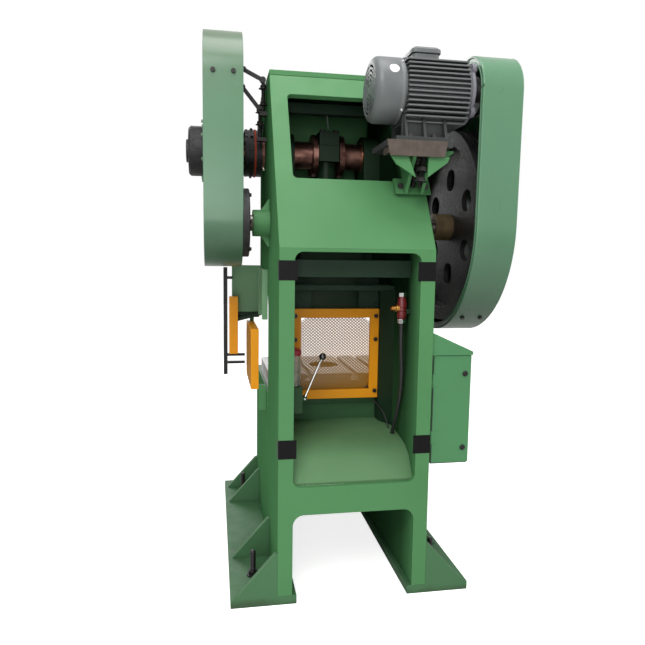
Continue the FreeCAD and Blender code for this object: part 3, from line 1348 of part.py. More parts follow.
def oil_pump():
    x, y = "pump_x", "pump_y"
    case = box(f"{CHEEK_INNER} - pump_x + pump_half_width", "2 * pump_half_width", "pump_tall",
               "pump_x - pump_half_width", "pump_y - pump_half_width", "pump_low")
    keep("oil_pump_body", fuse(case, lever_pivot()))
    top = "(pump_low + pump_tall)"
    keep("oil_reservoir", rod("reservoir_radius", "reservoir_tall", x, y, top))
    keep("oil_cap", rod("cap_radius", "cap_tall", x, y, f"{top} + reservoir_tall"))


def pump_lever():
    """Hand lever with its knob, leaning away from the reservoir."""
    y, half = "pump_y", "(lever_boss_length / 2)"
    boss = rod("lever_boss_radius", "lever_boss_length", LEVER_X, f"{y} - {half}", "lever_z", "Y")
    reach = f"({half} + lever_gap + lever_ear)"
    pin = rod("lever_pin_radius", f"2 * {reach}", LEVER_X, f"{y} - {reach}", "lever_z", "Y")
    stem = primitive("Part::Cylinder", Radius="lever_radius",
                     Height="sqrt(lever_lean ^ 2 + lever_rise ^ 2)", x=LEVER_X, y=y, z="lever_z")
    stem.Placement = FreeCAD.Placement(Vector(), Rotation(Vector(0, -1, 0), 45))
    stem.setExpression("Placement.Rotation.Angle", formula("atan2(lever_lean; lever_rise)"))
    knob = primitive("Part::Sphere", Radius="knob_radius", x=f"{LEVER_X} - lever_lean", y=y,
                     z="lever_z + lever_rise")
    knob.Placement = stem.Placement
    knob.setExpression("Placement.Rotation.Angle", formula("atan2(lever_lean; lever_rise)"))
    keep("pump_lever", fuse(boss, pin, stem, knob))


def air_regulator():
    x, y, low = "regulator_x", REGULATOR_Y, "regulator_low"
    body = rod("regulator_radius", "regulator_tall - 36", x, y, f"{low} + 18")
    nuts = [hexagon("30", "18", x, y, low),
            hexagon("30", "18", x, y, f"{low} + regulator_tall - 18")]
    arm = box(f"{CHEEK_INNER} + {x}", "24", "20", f"-{CHEEK_INNER}", f"{y} - 12", f"{low} + 40")
    keep("air_regulator", group(body, *nuts, cut(arm, body)))


def bent_tube(name, radius, route):
    """A round tube along straight runs joined by tangent arcs; prints its bend radii."""
    edges = []
    start = route[0]
    radii = []
    for before, corner, after in zip(route, route[1:], route[2:]):
        back, ahead = before - corner, after - corner
        turn = math.pi - back.getAngle(ahead)
        setback = 0.45 * min(back.Length, ahead.Length)
        radii.append(round(setback / math.tan(turn / 2)))
        first = corner + back.normalize() * setback
        last = corner + ahead.normalize() * setback
        middle = corner + (back + ahead).normalize() * (
            setback / math.cos(turn / 2) * (1 / math.cos(turn / 2) - 1)
            / math.tan(turn / 2) * math.cos(turn / 2))
        edges.append(Part.LineSegment(start, first).toShape())
        edges.append(Part.Arc(first, middle, last).toShape())
        start = last
    edges.append(Part.LineSegment(start, route[-1]).toShape())
    path = Part.Wire(edges)
    circle = Part.Circle(route[0], route[1] - route[0], radius).toShape()
    tube = path.makePipeShell([Part.Wire([circle])], True, False)
    print(name, "bend radii", radii, "length", round(path.Length),
          "volume error", round(tube.Volume / (math.pi * radius ** 2 * path.Length) - 1, 5))
    return tube


def floor_height(y):
    """Height of the floor sheet's top on its two front stretches."""
    rear = size("base_depth") / 2 - size("skin")
    points = [(rear - 0.51 * size("floor_run"), 0.12), (rear - size("floor_run"), 0.015),
              (size("bed_plate_rear"), 0)]
    for (far, low), (near, high) in zip(points, points[1:]):
        if near <= y <= far:
            share = low + (high - low) * (far - y) / (far - near)
            return size("floor_front_height") - size("floor_drop") * share
    raise ValueError(y)


def pipes():
    wall = size("frame_width") / 2 - size("cheek_thickness")
    x, low = size("regulator_inset") - wall, size("regulator_low")
    y = size("base_depth") / 2 - size("regulator_setback")
    hose = [Vector(x, y, low), Vector(x - 1, y - 3, low - 90), Vector(-wall + 20, y - 20, low - 200),
            Vector(-wall + 17, y - 38, low - 310), Vector(-wall + 20, y - 75, low - 405),
            Vector(-wall + 26, y - 122, floor_height(y - 122) - 3)]
    tubes = [bent_tube("air hose", size("hose_radius"), hose)]
    liner = liner_inside()
    guard_low = size("mesh_guard_low")
    thin = [Vector(-liner + 20, size("mesh_guard_y") + 24, guard_low - 12),
            Vector(-liner + 6, size("mesh_guard_y") + 62, guard_low - 30),
            Vector(-liner - 12, size("mesh_guard_y") + 110, guard_low - 58),
            Vector(-liner - 22, size("mesh_guard_y") + 145,
                   floor_height(size("mesh_guard_y") + 145) - 3)]
    tubes.append(bent_tube("guard cable", size("cable_radius"), thin))
    place_feature("air_hose", Part.makeCompound(tubes), 0, 0)
    beam = size("head_beam_top") - size("head_beam_height")
    pipe_y = size("head_beam_y") + size("head_beam_width") / 2
    cap_top = size("crank_z") + size("throw_radius") + size("rod_cap_rise")
    drip = [Vector(24, pipe_y, beam), Vector(22, pipe_y - 5, beam - 18),
            Vector(14, pipe_y - 30, beam - 34), Vector(10, pipe_y - 36, cap_top + 6)]
    place_feature("oil_pipe", bent_tube("oil pipe", size("cable_radius"), drip), 0, 0)


# Electrical cabinet

def cabinet():
    left = "-cabinet_inner - cabinet_width"
    front = "cabinet_rear - cabinet_depth"
    shell = box("cabinet_width", "cabinet_depth", "cabinet_tall", left, front, "cabinet_low")
    space = box("cabinet_width - 2 * cabinet_sheet", "cabinet_depth",
                "cabinet_tall - 2 * cabinet_sheet", f"{left} + cabinet_sheet",
                f"{front} + cabinet_sheet", "cabinet_low + cabinet_sheet")
    keep("cabinet_door", box("cabinet_width", "door_thickness", "cabinet_tall", left,
                             "cabinet_rear + 0.5", "cabinet_low"))
    top = "(cabinet_low + cabinet_tall)"
    eave = "(0 - cabinet_inner - cabinet_width - hood_over)"
    hood = plate("XZ", "-cabinet_rear - door_thickness - 6", "cabinet_depth + door_thickness", [
        (eave, f"{top} + 1"), (f"-{HALF_FRAME}", f"{top} + 1"),
        (f"-{HALF_FRAME}", f"{top} + hood_eave + hood_rise"), (eave, f"{top} + hood_eave")])
    keep("cabinet", group(cut(shell, space), hood))
    locks(left)


def cabinet_brackets():
    front = "cabinet_rear - cabinet_depth"
    return [box(f"cabinet_inner - {HALF_FRAME}", "40", "30", "-cabinet_inner",
                f"{front} + {along}", f"cabinet_low + {up}")
            for along in (50, 400) for up in (40, 380)]


def locks(left):
    """Two quarter-turn locks on the free edge of the door."""
    for name, up in (("upper", 0.83), ("lower", 0.14)):
        x = f"{left} + lock_inset"
        z = f"cabinet_low + cabinet_tall * {up}"
        boss = rod("lock_radius", "10", x, "cabinet_rear + 0.5 + door_thickness", z, "Y")
        key = box("5", "8", "18", f"{x} - 2.5", "cabinet_rear + 10.5 + door_thickness",
                  f"{z} - 9")
        keep(f"{name}_lock", fuse(boss, key))


def joined():
    """Small pieces of one kind from all over the frame, each kind in one node."""
    keep("cheeks", group(*both_sides(cheek)))
    keep("throat_liners", group(*both_sides(throat_liner)))
    keep("slide_guides", group(*both_sides(guide)))
    keep("side_guards", group(*both_sides(side_guard), *both_sides(light_bar)))
    keep("light_bar_posts", group(*both_sides(light_bar_post)))
    keep("hex_bolts", group(*keeper_bolts(), *bracket_bolts(), *gear_guard_bolts(),
                            *belt_guard_bolts(), *rear_guard_bolts()))
    keep("brackets", group(*belt_guard_straps(), *rear_guard_lugs(), *side_guard_tabs(),
                           *cabinet_brackets()))


def build():
    for make in (joined, rear_plates, head_plates, cross_beams, floor_sheet, bed,
                 bolster, feet, anchors, side_mounts, bearings, crankshaft, connecting_rod,
                 rod_bolts, ball_screw, slide, bull_gear, pinion, crank_attachments,
                 brake_block, drive_shaft, flywheel, flywheel_hub, motor_pulley, belts,
                 motor_frame, motor_ends, motor_rotor, terminal_box, motor_bracket, gear_guard,
                 guard_stays, belt_guard, rear_mesh_guard, guard_meshes, oil_pump, pump_lever,
                 air_regulator, pipes, cabinet):
        make()
    doc.recompute()


def check():
    """Stop if an object failed or a sub-part has no valid solid."""
    for part in doc.Objects:
        if {"Invalid", "Error"} & set(part.State):
            raise RuntimeError(f"{part.Name} ({part.Label}) failed: {part.State}")
    for part in nodes:
        shape = part.Shape
        if shape.isNull() or not shape.isValid() or not shape.Solids:
            raise RuntimeError(f"{part.Label} has no valid solid")


def export():
    os.makedirs("parts", exist_ok=True)
    for part in nodes:
        part.Shape.exportStep(f"parts/{part.Label}.step")
    print(len(nodes), "nodes")


build()
check()
export()
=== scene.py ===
# %% [markdown]
# # A mechanical stamping press, finished over its CAD frame
#
# The press is an open-back crank press: two thick cheeks carry a crankshaft at the top, a slide
# that the crank drives down on a bolster, a flywheel and a bull gear outside the cheeks under
# sheet guards, and a motor on a bracket behind the head. Its solids come from CAD and are loaded
# first, in metres, with the floor at height zero, the operator's side towards -Y and the rear,
# which the camera sees, towards +Y.
#
# The CAD solids have the right sizes but sharp edges and no finish. Each step below either gives
# a solid soft edges and a material, or builds a more detailed piece in its place.

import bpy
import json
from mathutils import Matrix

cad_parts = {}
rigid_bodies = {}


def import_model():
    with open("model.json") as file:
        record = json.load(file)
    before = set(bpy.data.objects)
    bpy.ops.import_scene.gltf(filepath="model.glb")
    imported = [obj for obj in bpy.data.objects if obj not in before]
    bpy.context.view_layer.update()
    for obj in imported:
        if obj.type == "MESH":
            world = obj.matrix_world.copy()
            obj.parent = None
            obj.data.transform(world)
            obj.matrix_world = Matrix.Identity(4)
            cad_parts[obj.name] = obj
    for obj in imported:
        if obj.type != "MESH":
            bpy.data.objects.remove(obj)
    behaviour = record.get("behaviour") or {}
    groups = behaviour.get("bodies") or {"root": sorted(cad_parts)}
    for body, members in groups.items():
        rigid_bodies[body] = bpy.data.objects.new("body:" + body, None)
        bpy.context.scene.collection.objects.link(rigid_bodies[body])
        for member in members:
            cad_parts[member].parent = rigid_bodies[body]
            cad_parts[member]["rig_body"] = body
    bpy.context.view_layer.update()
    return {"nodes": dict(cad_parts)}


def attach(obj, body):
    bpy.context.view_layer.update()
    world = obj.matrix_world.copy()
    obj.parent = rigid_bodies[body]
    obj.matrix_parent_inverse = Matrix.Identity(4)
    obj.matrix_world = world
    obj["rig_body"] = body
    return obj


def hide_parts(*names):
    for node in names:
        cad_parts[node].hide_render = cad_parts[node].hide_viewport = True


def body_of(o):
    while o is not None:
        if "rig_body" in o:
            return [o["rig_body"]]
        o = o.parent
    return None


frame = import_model()

# %% Python modules for making meshes and reading angles
import json
import math

import bmesh
import bpy
from mathutils import Matrix, Vector

# %% [markdown]
# ## The camera
#
# The picture was taken from behind the press, about level with the knee where the sloped plate
# starts. A camera can be aimed by hand until the picture looks right. Here its place, its
# direction and its lens were worked out from the corners of the cheeks and the rear opening,
# so they are written as numbers: a forward direction, a level right-hand direction, and a
# small roll about the forward one.

# %% Aim the camera
def add_object(name, data):
    """An object in the scene, at the origin."""
    made = bpy.data.objects.new(name, data)
    bpy.context.scene.collection.objects.link(made)
    return made


CAMERA_PLACE = Vector((0.551, 2.938, 1.401))
CAMERA_FORWARD = Vector((-0.1750, -0.9783, -0.1108)).normalized()
CAMERA_ROLL = 0.014

level_right = CAMERA_FORWARD.cross(Vector((0, 0, 1))).normalized()
level_up = level_right.cross(CAMERA_FORWARD)
right = level_right * math.cos(CAMERA_ROLL) + level_up * math.sin(CAMERA_ROLL)
up = right.cross(CAMERA_FORWARD)

camera_lens = bpy.data.cameras.new("rear_camera")
camera_lens.lens = 33.84
camera_lens.sensor_width = 36
camera = add_object("rear_camera", camera_lens)
camera.matrix_world = (Matrix.Translation(CAMERA_PLACE)
                       @ Matrix((right, up, -CAMERA_FORWARD)).transposed().to_4x4())
bpy.context.scene.camera = camera
bpy.context.scene.view_settings.view_transform = "Standard"
print("camera looks along", tuple(round(v, 3) for v in CAMERA_FORWARD))

# %% [markdown]
# ## Wiring shader nodes
#
# A material in Blender is a small graph of nodes. Clicking it together in the editor works well
# for one material, but a press needs over thirty that share the same ideas: a slow change of
# tint, a fine grain in the gloss, a bump. A few short functions add a node and connect its
# sockets, so that each finish below reads as a list of what it is made of. Every pattern reads
# Object coordinates, which are metres in the press's own frame.

# %% Helpers for colours and nodes
def srgb(red, green, blue):
    """A colour as it looks on screen, 0 to 255 a channel, as a shader's linear values."""
    shares = [value / 255 for value in (red, green, blue)]
    return [((share + 0.055) / 1.055) ** 2.4 for share in shares] + [1.0]


def add_node(material, kind, inputs=None, **settings):
    """Adds a node to a material or world; inputs maps a socket to a value or a socket."""
    node = material.node_tree.nodes.new("ShaderNode" + kind)
    for setting, value in settings.items():
        setattr(node, setting, value)
    for socket, value in (inputs or {}).items():
        if isinstance(value, bpy.types.NodeSocket):
            material.node_tree.links.new(value, node.inputs[socket])
        else:
            node.inputs[socket].default_value = value
    return node


def new_finish(name, **constants):
    """A material with one Principled shader, whose plain numbers are set on its sockets."""
    material = bpy.data.materials.new(name)
    material.use_nodes = True
    shader = material.node_tree.nodes["Principled BSDF"]
    for socket, value in constants.items():
        shader.inputs[socket.replace("_", " ")].default_value = value
    return material, shader


def feed(material, shader, socket, value):
    """Connects a socket of a shader to another node's output."""
    material.node_tree.links.new(value, shader.inputs[socket])


# %% Patterns, tints and bumps
def coordinates(material, centre=(0, 0, 0), stretch=(1, 1, 1)):
    """Object coordinates, measured from a centre and stretched along the axes."""
    place = add_node(material, "TexCoord").outputs["Object"]
    shift = [-c * s for c, s in zip(centre, stretch)]
    mapping = add_node(material, "Mapping", {"Vector": place, "Location": shift,
                                             "Scale": stretch})
    return mapping.outputs["Vector"]


def grain(material, scale, detail=2.0, stretch=(1, 1, 1)):
    """Soft random values from 0 to 1; scale is how many grains there are in a metre."""
    noise = add_node(material, "TexNoise", {
        "Vector": coordinates(material, stretch=stretch), "Scale": scale, "Detail": detail})
    return noise.outputs["Fac"]


def spread(material, value, start, end, low=0.0, high=1.0):
    """Stretches the part of a value from start to end over low to high, and clamps it."""
    return add_node(material, "MapRange", {"Value": value, "From Min": start, "From Max": end,
                                           "To Min": low, "To Max": high}).outputs["Result"]


def vary_roughness(material, shader, scale, detail, low, high):
    """A cloudy gloss: the roughness drifts between two values."""
    feed(material, shader, "Roughness",
         spread(material, grain(material, scale, detail), 0.3, 0.7, low, high))


def compute(material, operation, *values):
    """One sum on values or sockets, such as ADD, MAXIMUM or ABSOLUTE."""
    return add_node(material, "Math", dict(enumerate(values)), operation=operation).outputs[0]


def times(material, first, second):
    """One value multiplied by another."""
    return compute(material, "MULTIPLY", first, second)


def tinted(material, share, first, second):
    """A colour between two colours."""
    mix = add_node(material, "Mix", {0: share, 6: first, 7: second}, data_type="RGBA")
    return mix.outputs[2]


def shade(colour, factor):
    """A colour made lighter or darker."""
    return [min(channel * factor, 1.0) for channel in colour[:3]] + [1.0]


def bump(material, height, depth, under=None):
    """A normal that follows a height; depth in metres is the height's full range."""
    inputs = {"Height": height, "Distance": depth, "Strength": 1.0}
    if under is not None:
        inputs["Normal"] = under
    return add_node(material, "Bump", inputs).outputs["Normal"]


# %% [markdown]
# ## Worn paint and painted highlight along edges, dust and painted shade in corners
#
# Two things make paint look real. It is thin on outside edges, where it was rubbed, and it
# gathers dust and oil where two plates meet. The lighter edges here are also a painted
# highlight, and the darker corners are also painted shade. Both could be painted by hand. Two
# nodes find the places instead: the Bevel node turns the normal near an edge, so its angle to
# the true normal marks the edge, and the Ambient Occlusion node is dark where other surfaces
# are close. Two more masks follow from the place alone: a height, which paints shade low on
# the guards and a reflection on their tops, and the hollow between the cheeks, which paints
# shade inside the neck.

# %% Masks for edges and corners
REAR_FACE, KNEE, HEAD_TOP, SLOPE_RUN = 0.650, 1.426, 2.202, 0.471
RAGGEDNESS = 0.12


def edge_wear_highlight_mask(material, reach=0.003, patchiness=40.0):
    """1 on outside edges, where the paint is thin and where a highlight is painted, broken up by a
    grain.
    """
    rounded = add_node(material, "Bevel", {"Radius": reach}, samples=4).outputs["Normal"]
    true = add_node(material, "NewGeometry").outputs["Normal"]
    likeness = add_node(material, "VectorMath", {0: rounded, 1: true},
                        operation="DOT_PRODUCT").outputs["Value"]
    edge = spread(material, likeness, 0.995, 0.86)
    return times(material, edge, spread(material, grain(material, patchiness), 0.35, 0.65))


def height_mask(low, high, most):
    """A mask that is strongest at one height and gone at another."""
    def mask(material):
        height = add_node(material, "SeparateXYZ", {0: coordinates(material)}).outputs["Z"]
        ragged = times(material, grain(material, 6.0, 3.0), RAGGEDNESS)
        wavy = compute(material, "ADD", ragged, height)
        return spread(material, wavy, low + RAGGEDNESS / 2, high + RAGGEDNESS / 2, most, 0.0)
    return mask


def neck_shade_mask(material):
    """1 on what faces the hollow between the cheeks, where the press green is painted with shade.
    """
    place = add_node(material, "SeparateXYZ", {0: coordinates(material)}).outputs
    across = compute(material, "ABSOLUTE", place["X"])
    rise = spread(material, place["Z"], KNEE, HEAD_TOP, 0.0, SLOPE_RUN)
    behind = compute(material, "ADD", rise, place["Y"])
    between = times(material, spread(material, across, 0.262, 0.250),
                    spread(material, behind, REAR_FACE - 0.02, REAR_FACE - 0.16))
    reached = times(material, spread(material, place["Z"], 0.6, 1.25, 0.5, 0.93),
                    spread(material, place["Z"], HEAD_TOP - 0.01, HEAD_TOP - 0.03))
    return times(material, times(material, between, reached),
                 spread(material, place["Y"], -0.29, -0.26))


def corner_shade_mask(material, reach=0.05):
    """1 deep in corners, where shade falls, 0 in the open; it darkens a colour as painted shade.
    """
    shaded = add_node(material, "AmbientOcclusion", {"Distance": reach}, samples=4)
    return spread(material, shaded.outputs["AO"], 0.75, 0.25)


# %% [markdown]
# ## Paint
#
# The press is sprayed with a mid green machine enamel. Up close the real coat has a slow
# difference of tint from plate to plate, a very fine orange peel, and a gloss that varies
# where it was wiped. One function makes every paint on the machine from its colour, its gloss,
# how wavy the sheet under it is and where painted shade, painted reflection and stains lie on
# it, so the green, the guard green, the yellow, the grey and the black differ only in numbers.

# %% A sprayed coat
def sprayed(name, colour, gloss_low=0.38, gloss_high=0.55, waviness=0.0016, wear_and_highlight=0.35,
            layers=(), sheen=0.2, waves=7.0):
    """Enamel over steel: tint, corners darker with dust and painted shade, edges lighter where
    worn and as a painted highlight, layers of painted shade, painted reflection and stain,
    orange peel and wavy plate.
    """
    material, shader = new_finish(name, Specular_IOR_Level=sheen)
    slow = spread(material, grain(material, 1.7, 3.0), 0.32, 0.68)
    coat = tinted(material, slow, shade(colour, 0.92), shade(colour, 1.05))
    blotch = spread(material, grain(material, 9.0, 5.0), 0.62, 0.75, 0.0, 0.10)
    # Corners darken with dust and with painted shade from ambient occlusion.
    dust_and_shade = times(material, corner_shade_mask(material), 0.45)
    # Edges lighten where worn and as a painted highlight.
    edges = times(material, edge_wear_highlight_mask(material), wear_and_highlight)
    for share, factor in ((blotch, 0.72), (dust_and_shade, 0.42), (edges, 1.55)):
        coat = tinted(material, share, coat, shade(colour, factor))
    # Each layer is painted shade, a painted reflection or a stain, placed by a mask.
    for mask, stain_and_painted_light in layers:
        coat = tinted(material, mask(material), coat, stain_and_painted_light)
    feed(material, shader, "Base Color", coat)
    wiped = grain(material, 14.0, 4.0, stretch=(1, 1, 0.35))
    feed(material, shader, "Roughness", spread(material, wiped, 0.3, 0.7, gloss_low, gloss_high))
    sheet = bump(material, grain(material, waves, 1.0), waviness)
    peel = bump(material, grain(material, 420.0, 1.0), 0.00006, under=sheet)
    feed(material, shader, "Normal", peel)
    return material


def dull_sides(material):
    """Takes the shine off the faces that look along X, where oil mist and dust cling."""
    normal = add_node(material, "NewGeometry").outputs["Normal"]
    across = add_node(material, "SeparateXYZ", {0: normal}).outputs["X"]
    sideways = compute(material, "ABSOLUTE", across)
    feed(material, material.node_tree.nodes["Principled BSDF"], "Specular IOR Level",
         spread(material, sideways, 0.85, 0.96, 0.2, 0.0))


# %% Every paint on the press
# The hollow inside the neck is painted a nearly black green: painted shade.
press_green = sprayed("press_green", srgb(77, 129, 82),
                      layers=[(neck_shade_mask, srgb(14, 28, 18))])
dull_sides(press_green)
box_green = sprayed("box_green", srgb(77, 131, 88))
bed_green = sprayed("bed_green", srgb(90, 128, 88), 0.5, 0.65)
# A lighter green for the side mounts, which the gear guard shades: painted light.
lit_mount_green = sprayed("lit_mount_green", srgb(112, 152, 114))
# A much darker green for parts in the neck and under the mount: painted shade.
shade_painted_green = sprayed("shade_painted_green", srgb(27, 50, 34), 0.45, 0.6)
base_green = sprayed("base_green", srgb(72, 112, 77), 0.45, 0.6,
                     layers=[(height_mask(0.0, 0.03, 0.5), srgb(52, 50, 42))])
# Both guards are painted darker low down, as painted shade, and brownish grey on top, as a painted
# reflection.
belt_green = sprayed("belt_green", srgb(84, 127, 96), 0.27, 0.31, 0.0007, 0.25,
                     layers=[(height_mask(1.06, 1.5, 0.9), srgb(30, 54, 36)),
                             (height_mask(2.21, 2.15, 0.7), srgb(62, 62, 48))], sheen=0.5,
                     waves=2.0)
gear_green = sprayed("gear_green", srgb(82, 122, 92), 0.27, 0.31, 0.0007, 0.25,
                     layers=[(height_mask(1.34, 1.62, 0.8), srgb(38, 68, 46)),
                             (height_mask(2.40, 2.02, 0.75), srgb(84, 88, 70))], sheen=0.5,
                     waves=2.0)
yellow_paint = sprayed("yellow_paint", srgb(238, 155, 22), 0.34, 0.46, 0.0008)
# A darker yellow for the net, which is seen against the light: painted shade.
shaded_net_yellow = sprayed("shaded_net_yellow", srgb(176, 122, 28), 0.4, 0.5, 0.0008)
motor_grey = sprayed("motor_grey", srgb(98, 102, 102), 0.34, 0.48, 0.0008, 0.3, sheen=0.4)
foot_grey = sprayed("foot_grey", srgb(58, 60, 60), 0.4, 0.52, 0.0008, 0.3)
shield_grey = sprayed("shield_grey", srgb(128, 126, 134), 0.36, 0.5, 0.0008, 0.3)
black_paint = sprayed("black_paint", srgb(36, 35, 36), 0.36, 0.5, 0.0008, 0.5)
lining_orange = sprayed("lining_orange", srgb(172, 68, 44), 0.6, 0.75, 0.0004)
print("paints", press_green.name, belt_green.name, yellow_paint.name, motor_grey.name)

# %% [markdown]
# ## Bare and oiled metal
#
# Turned parts such as the shafts show rings from the lathe. A bump from a photograph of rings
# would need unwrapping, so the rings are a Wave texture around the part's own axis instead,
# with the axis given as a centre. Milled parts, such as the bolster, get long straight cutter
# marks from a grain that is stretched in one direction.

# %% Turned, milled, cast and plated metal
def turned_metal(name, colour, axis_place, smear, roughness=0.3):
    """Lathe rings about an axis along X, with an oily smear of a second colour."""
    material, shader = new_finish(name, Metallic=1.0)
    oily = spread(material, grain(material, 22.0, 5.0, (0.5, 1, 1)), 0.38, 0.66)
    feed(material, shader, "Base Color", tinted(material, oily, colour, smear))
    around = coordinates(material, centre=(0, axis_place[0], axis_place[1]))
    rings = add_node(material, "TexWave", {"Vector": around, "Scale": 90.0,
                                           "Distortion": 0.4, "Detail": 1.0},
                     wave_type="RINGS", rings_direction="X").outputs["Fac"]
    tracks = add_node(material, "TexWave", {"Vector": around, "Scale": 130.0,
                                            "Distortion": 0.6, "Detail": 1.0},
                      bands_direction="X").outputs["Fac"]
    vary_roughness(material, shader, 60.0, 3.0, roughness * 0.8, roughness * 1.4)
    cut = bump(material, rings, 0.00004)
    feed(material, shader, "Normal", bump(material, tracks, 0.00003, under=cut))
    return material


def milled_metal(name, colour, lengthways=(0.03, 1, 1), roughness=0.32):
    """Long straight cutter marks and a few stains."""
    material, shader = new_finish(name, Metallic=1.0)
    stain = spread(material, grain(material, 8.0, 5.0), 0.5, 0.72, 0.0, 0.6)
    feed(material, shader, "Base Color", tinted(material, stain, colour, shade(colour, 0.6)))
    marks = grain(material, 500.0, 2.0, lengthways)
    vary_roughness(material, shader, 25.0, 3.0, roughness * 0.8, roughness * 1.3)
    feed(material, shader, "Normal", bump(material, marks, 0.00003))
    return material


def cast_metal(name, colour, roughness=0.5, metallic=0.6):
    """A sand-cast skin: coarse grain, painted shade in its corners, edges brighter where
    rubbed and as a painted highlight.
    """
    material, shader = new_finish(name, Metallic=metallic)
    skin = tinted(material, spread(material, grain(material, 30.0, 4.0), 0.3, 0.7),
                  shade(colour, 0.75), shade(colour, 1.2))
    # Painted shade in the corners; edges lighter where rubbed and as a painted highlight.
    for mask, share, factor in ((corner_shade_mask, 0.6, 0.35), (edge_wear_highlight_mask, 0.5, 2.4)):
        skin = tinted(material, times(material, mask(material), share), skin,
                      shade(colour, factor))
    feed(material, shader, "Base Color", skin)
    vary_roughness(material, shader, 70.0, 2.0, roughness * 0.85, roughness * 1.2)
    pits = bump(material, grain(material, 260.0, 3.0), 0.0003)
    feed(material, shader, "Normal", pits)
    return material


def plated_metal(name, colour, roughness=0.28, metallic=1.0):
    """Small bought parts: even colour with a cloudy gloss."""
    material, shader = new_finish(name, Metallic=metallic)
    cloud = spread(material, grain(material, 80.0, 3.0), 0.35, 0.65)
    feed(material, shader, "Base Color",
         tinted(material, cloud, shade(colour, 0.86), shade(colour, 1.08)))
    vary_roughness(material, shader, 160.0, 2.0, roughness * 0.75, roughness * 1.4)
    feed(material, shader, "Normal", bump(material, grain(material, 600.0), 0.00002))
    return material


# %% Every metal on the press
CRANK_AXIS = (-0.105, 1.887)
DRIVE_AXIS = (0.225, 1.5364)
MOTOR_AXIS = (0.550, 2.043)
crank_copper = turned_metal("crank_copper", srgb(156, 116, 104), CRANK_AXIS,
                            srgb(84, 56, 50), 0.36)
crank_steel = turned_metal("crank_steel", srgb(150, 150, 150), CRANK_AXIS, srgb(95, 88, 82))
drive_steel = turned_metal("drive_steel", srgb(150, 148, 145), DRIVE_AXIS, srgb(96, 86, 78))
motor_steel = turned_metal("motor_steel", srgb(150, 148, 145), MOTOR_AXIS, srgb(96, 86, 78))
milled_steel = milled_metal("milled_steel", srgb(158, 158, 156))
dark_iron = cast_metal("dark_iron", srgb(44, 43, 44))
hub_tan = cast_metal("hub_tan", srgb(112, 94, 68), 0.45, 0.5)
raw_base = cast_metal("raw_base", srgb(80, 70, 63), 0.55, 0.4)
zinc = plated_metal("zinc", srgb(186, 188, 190))
black_oxide = plated_metal("black_oxide", srgb(48, 46, 46), 0.4, 0.7)
chrome = plated_metal("chrome", srgb(214, 214, 214), 0.12)
brass = plated_metal("brass", srgb(198, 140, 72), 0.26)
bush_bronze = plated_metal("bush_bronze", srgb(170, 122, 74), 0.32)
print("metals", len(bpy.data.materials))

# %% [markdown]
# ## Rubber, plastic and glass
#
# The hose and the belts are matt black rubber with a faint mottle, the pump's reservoir is a
# clear plastic cup half full of oil, and its cap is moulded red plastic. They are all simple
# shaders whose realism comes from the roughness: rubber about 0.6, moulded plastic about 0.3
# and the glossy lever knob under 0.1.

# %% Soft and moulded finishes
def moulded(name, colour, roughness, peel_depth=0.00005, **constants):
    """Plastic or rubber: a faint mottle in the colour and a fine skin."""
    material, shader = new_finish(name, **constants)
    mottle = spread(material, grain(material, 45.0, 3.0), 0.3, 0.7)
    feed(material, shader, "Base Color",
         tinted(material, mottle, shade(colour, 0.85), shade(colour, 1.12)))
    vary_roughness(material, shader, 90.0, 2.0, roughness * 0.85, roughness * 1.15)
    feed(material, shader, "Normal", bump(material, grain(material, 700.0), peel_depth))
    return material


# %% Every rubber and plastic on the press
rubber = moulded("rubber", srgb(34, 34, 35), 0.55, 0.0001)
belt_rubber = moulded("belt_rubber", srgb(44, 43, 42), 0.62, 0.0001)
knob_plastic = moulded("knob_plastic", srgb(16, 16, 17), 0.08, 0.0, Coat_Weight=1.0)
red_plastic = moulded("red_plastic", srgb(150, 34, 46), 0.3)
dark_red_body = moulded("dark_red_body", srgb(104, 26, 30), 0.34)
pipe_plastic = moulded("pipe_plastic", srgb(122, 128, 124), 0.35)
black_tape = moulded("black_tape", srgb(15, 14, 15), 0.5, 0.0002, Specular_IOR_Level=0.12)
clear_cup = moulded("clear_cup", srgb(226, 230, 222), 0.08, 0.0, Transmission_Weight=0.85,
                    IOR=1.45)
oil = moulded("oil", srgb(196, 160, 96), 0.05, 0.0, Transmission_Weight=0.6, IOR=1.47)
white_label = moulded("white_label", srgb(232, 232, 226), 0.35)
print("finishes", len(bpy.data.materials))

# %% [markdown]
# ## Soft edges on a CAD solid
#
# A CAD solid arrives as loose triangles with razor-sharp edges, and no real plate has those. An
# edge shows because light catches the small round left by the grinder and the paint. The CAD
# mesh itself must stay as it is, so each solid gets a copy: its doubles are merged, its flat
# triangles are joined into whole faces, and a Bevel modifier rounds every edge that is sharper
# than an angle. The copy then stands for the solid.

# %% Copy a solid with soft edges
MM = 0.001


def register(name, shape, finish, body, slot, nodes=(), soft_edge=0.0, smooth_angle=32,
             segments=2):
    """Makes a shaded piece with soft edges and tells the frame where it belongs."""
    data = bpy.data.meshes.new(name)
    shape.to_mesh(data)
    shape.free()
    data.materials.append(finish)
    piece = add_object(name, data)
    piece.data.shade_smooth()
    piece.data.set_sharp_from_angle(angle=math.radians(smooth_angle))
    if soft_edge:
        edges = piece.modifiers.new("soft_edges", "BEVEL")
        edges.width = soft_edge * MM
        edges.segments = segments
        edges.limit_method = "ANGLE"
        edges.angle_limit = math.radians(smooth_angle)
        edges.harden_normals = True
    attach(piece, body)
    if nodes:
        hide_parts(*nodes)
    return piece


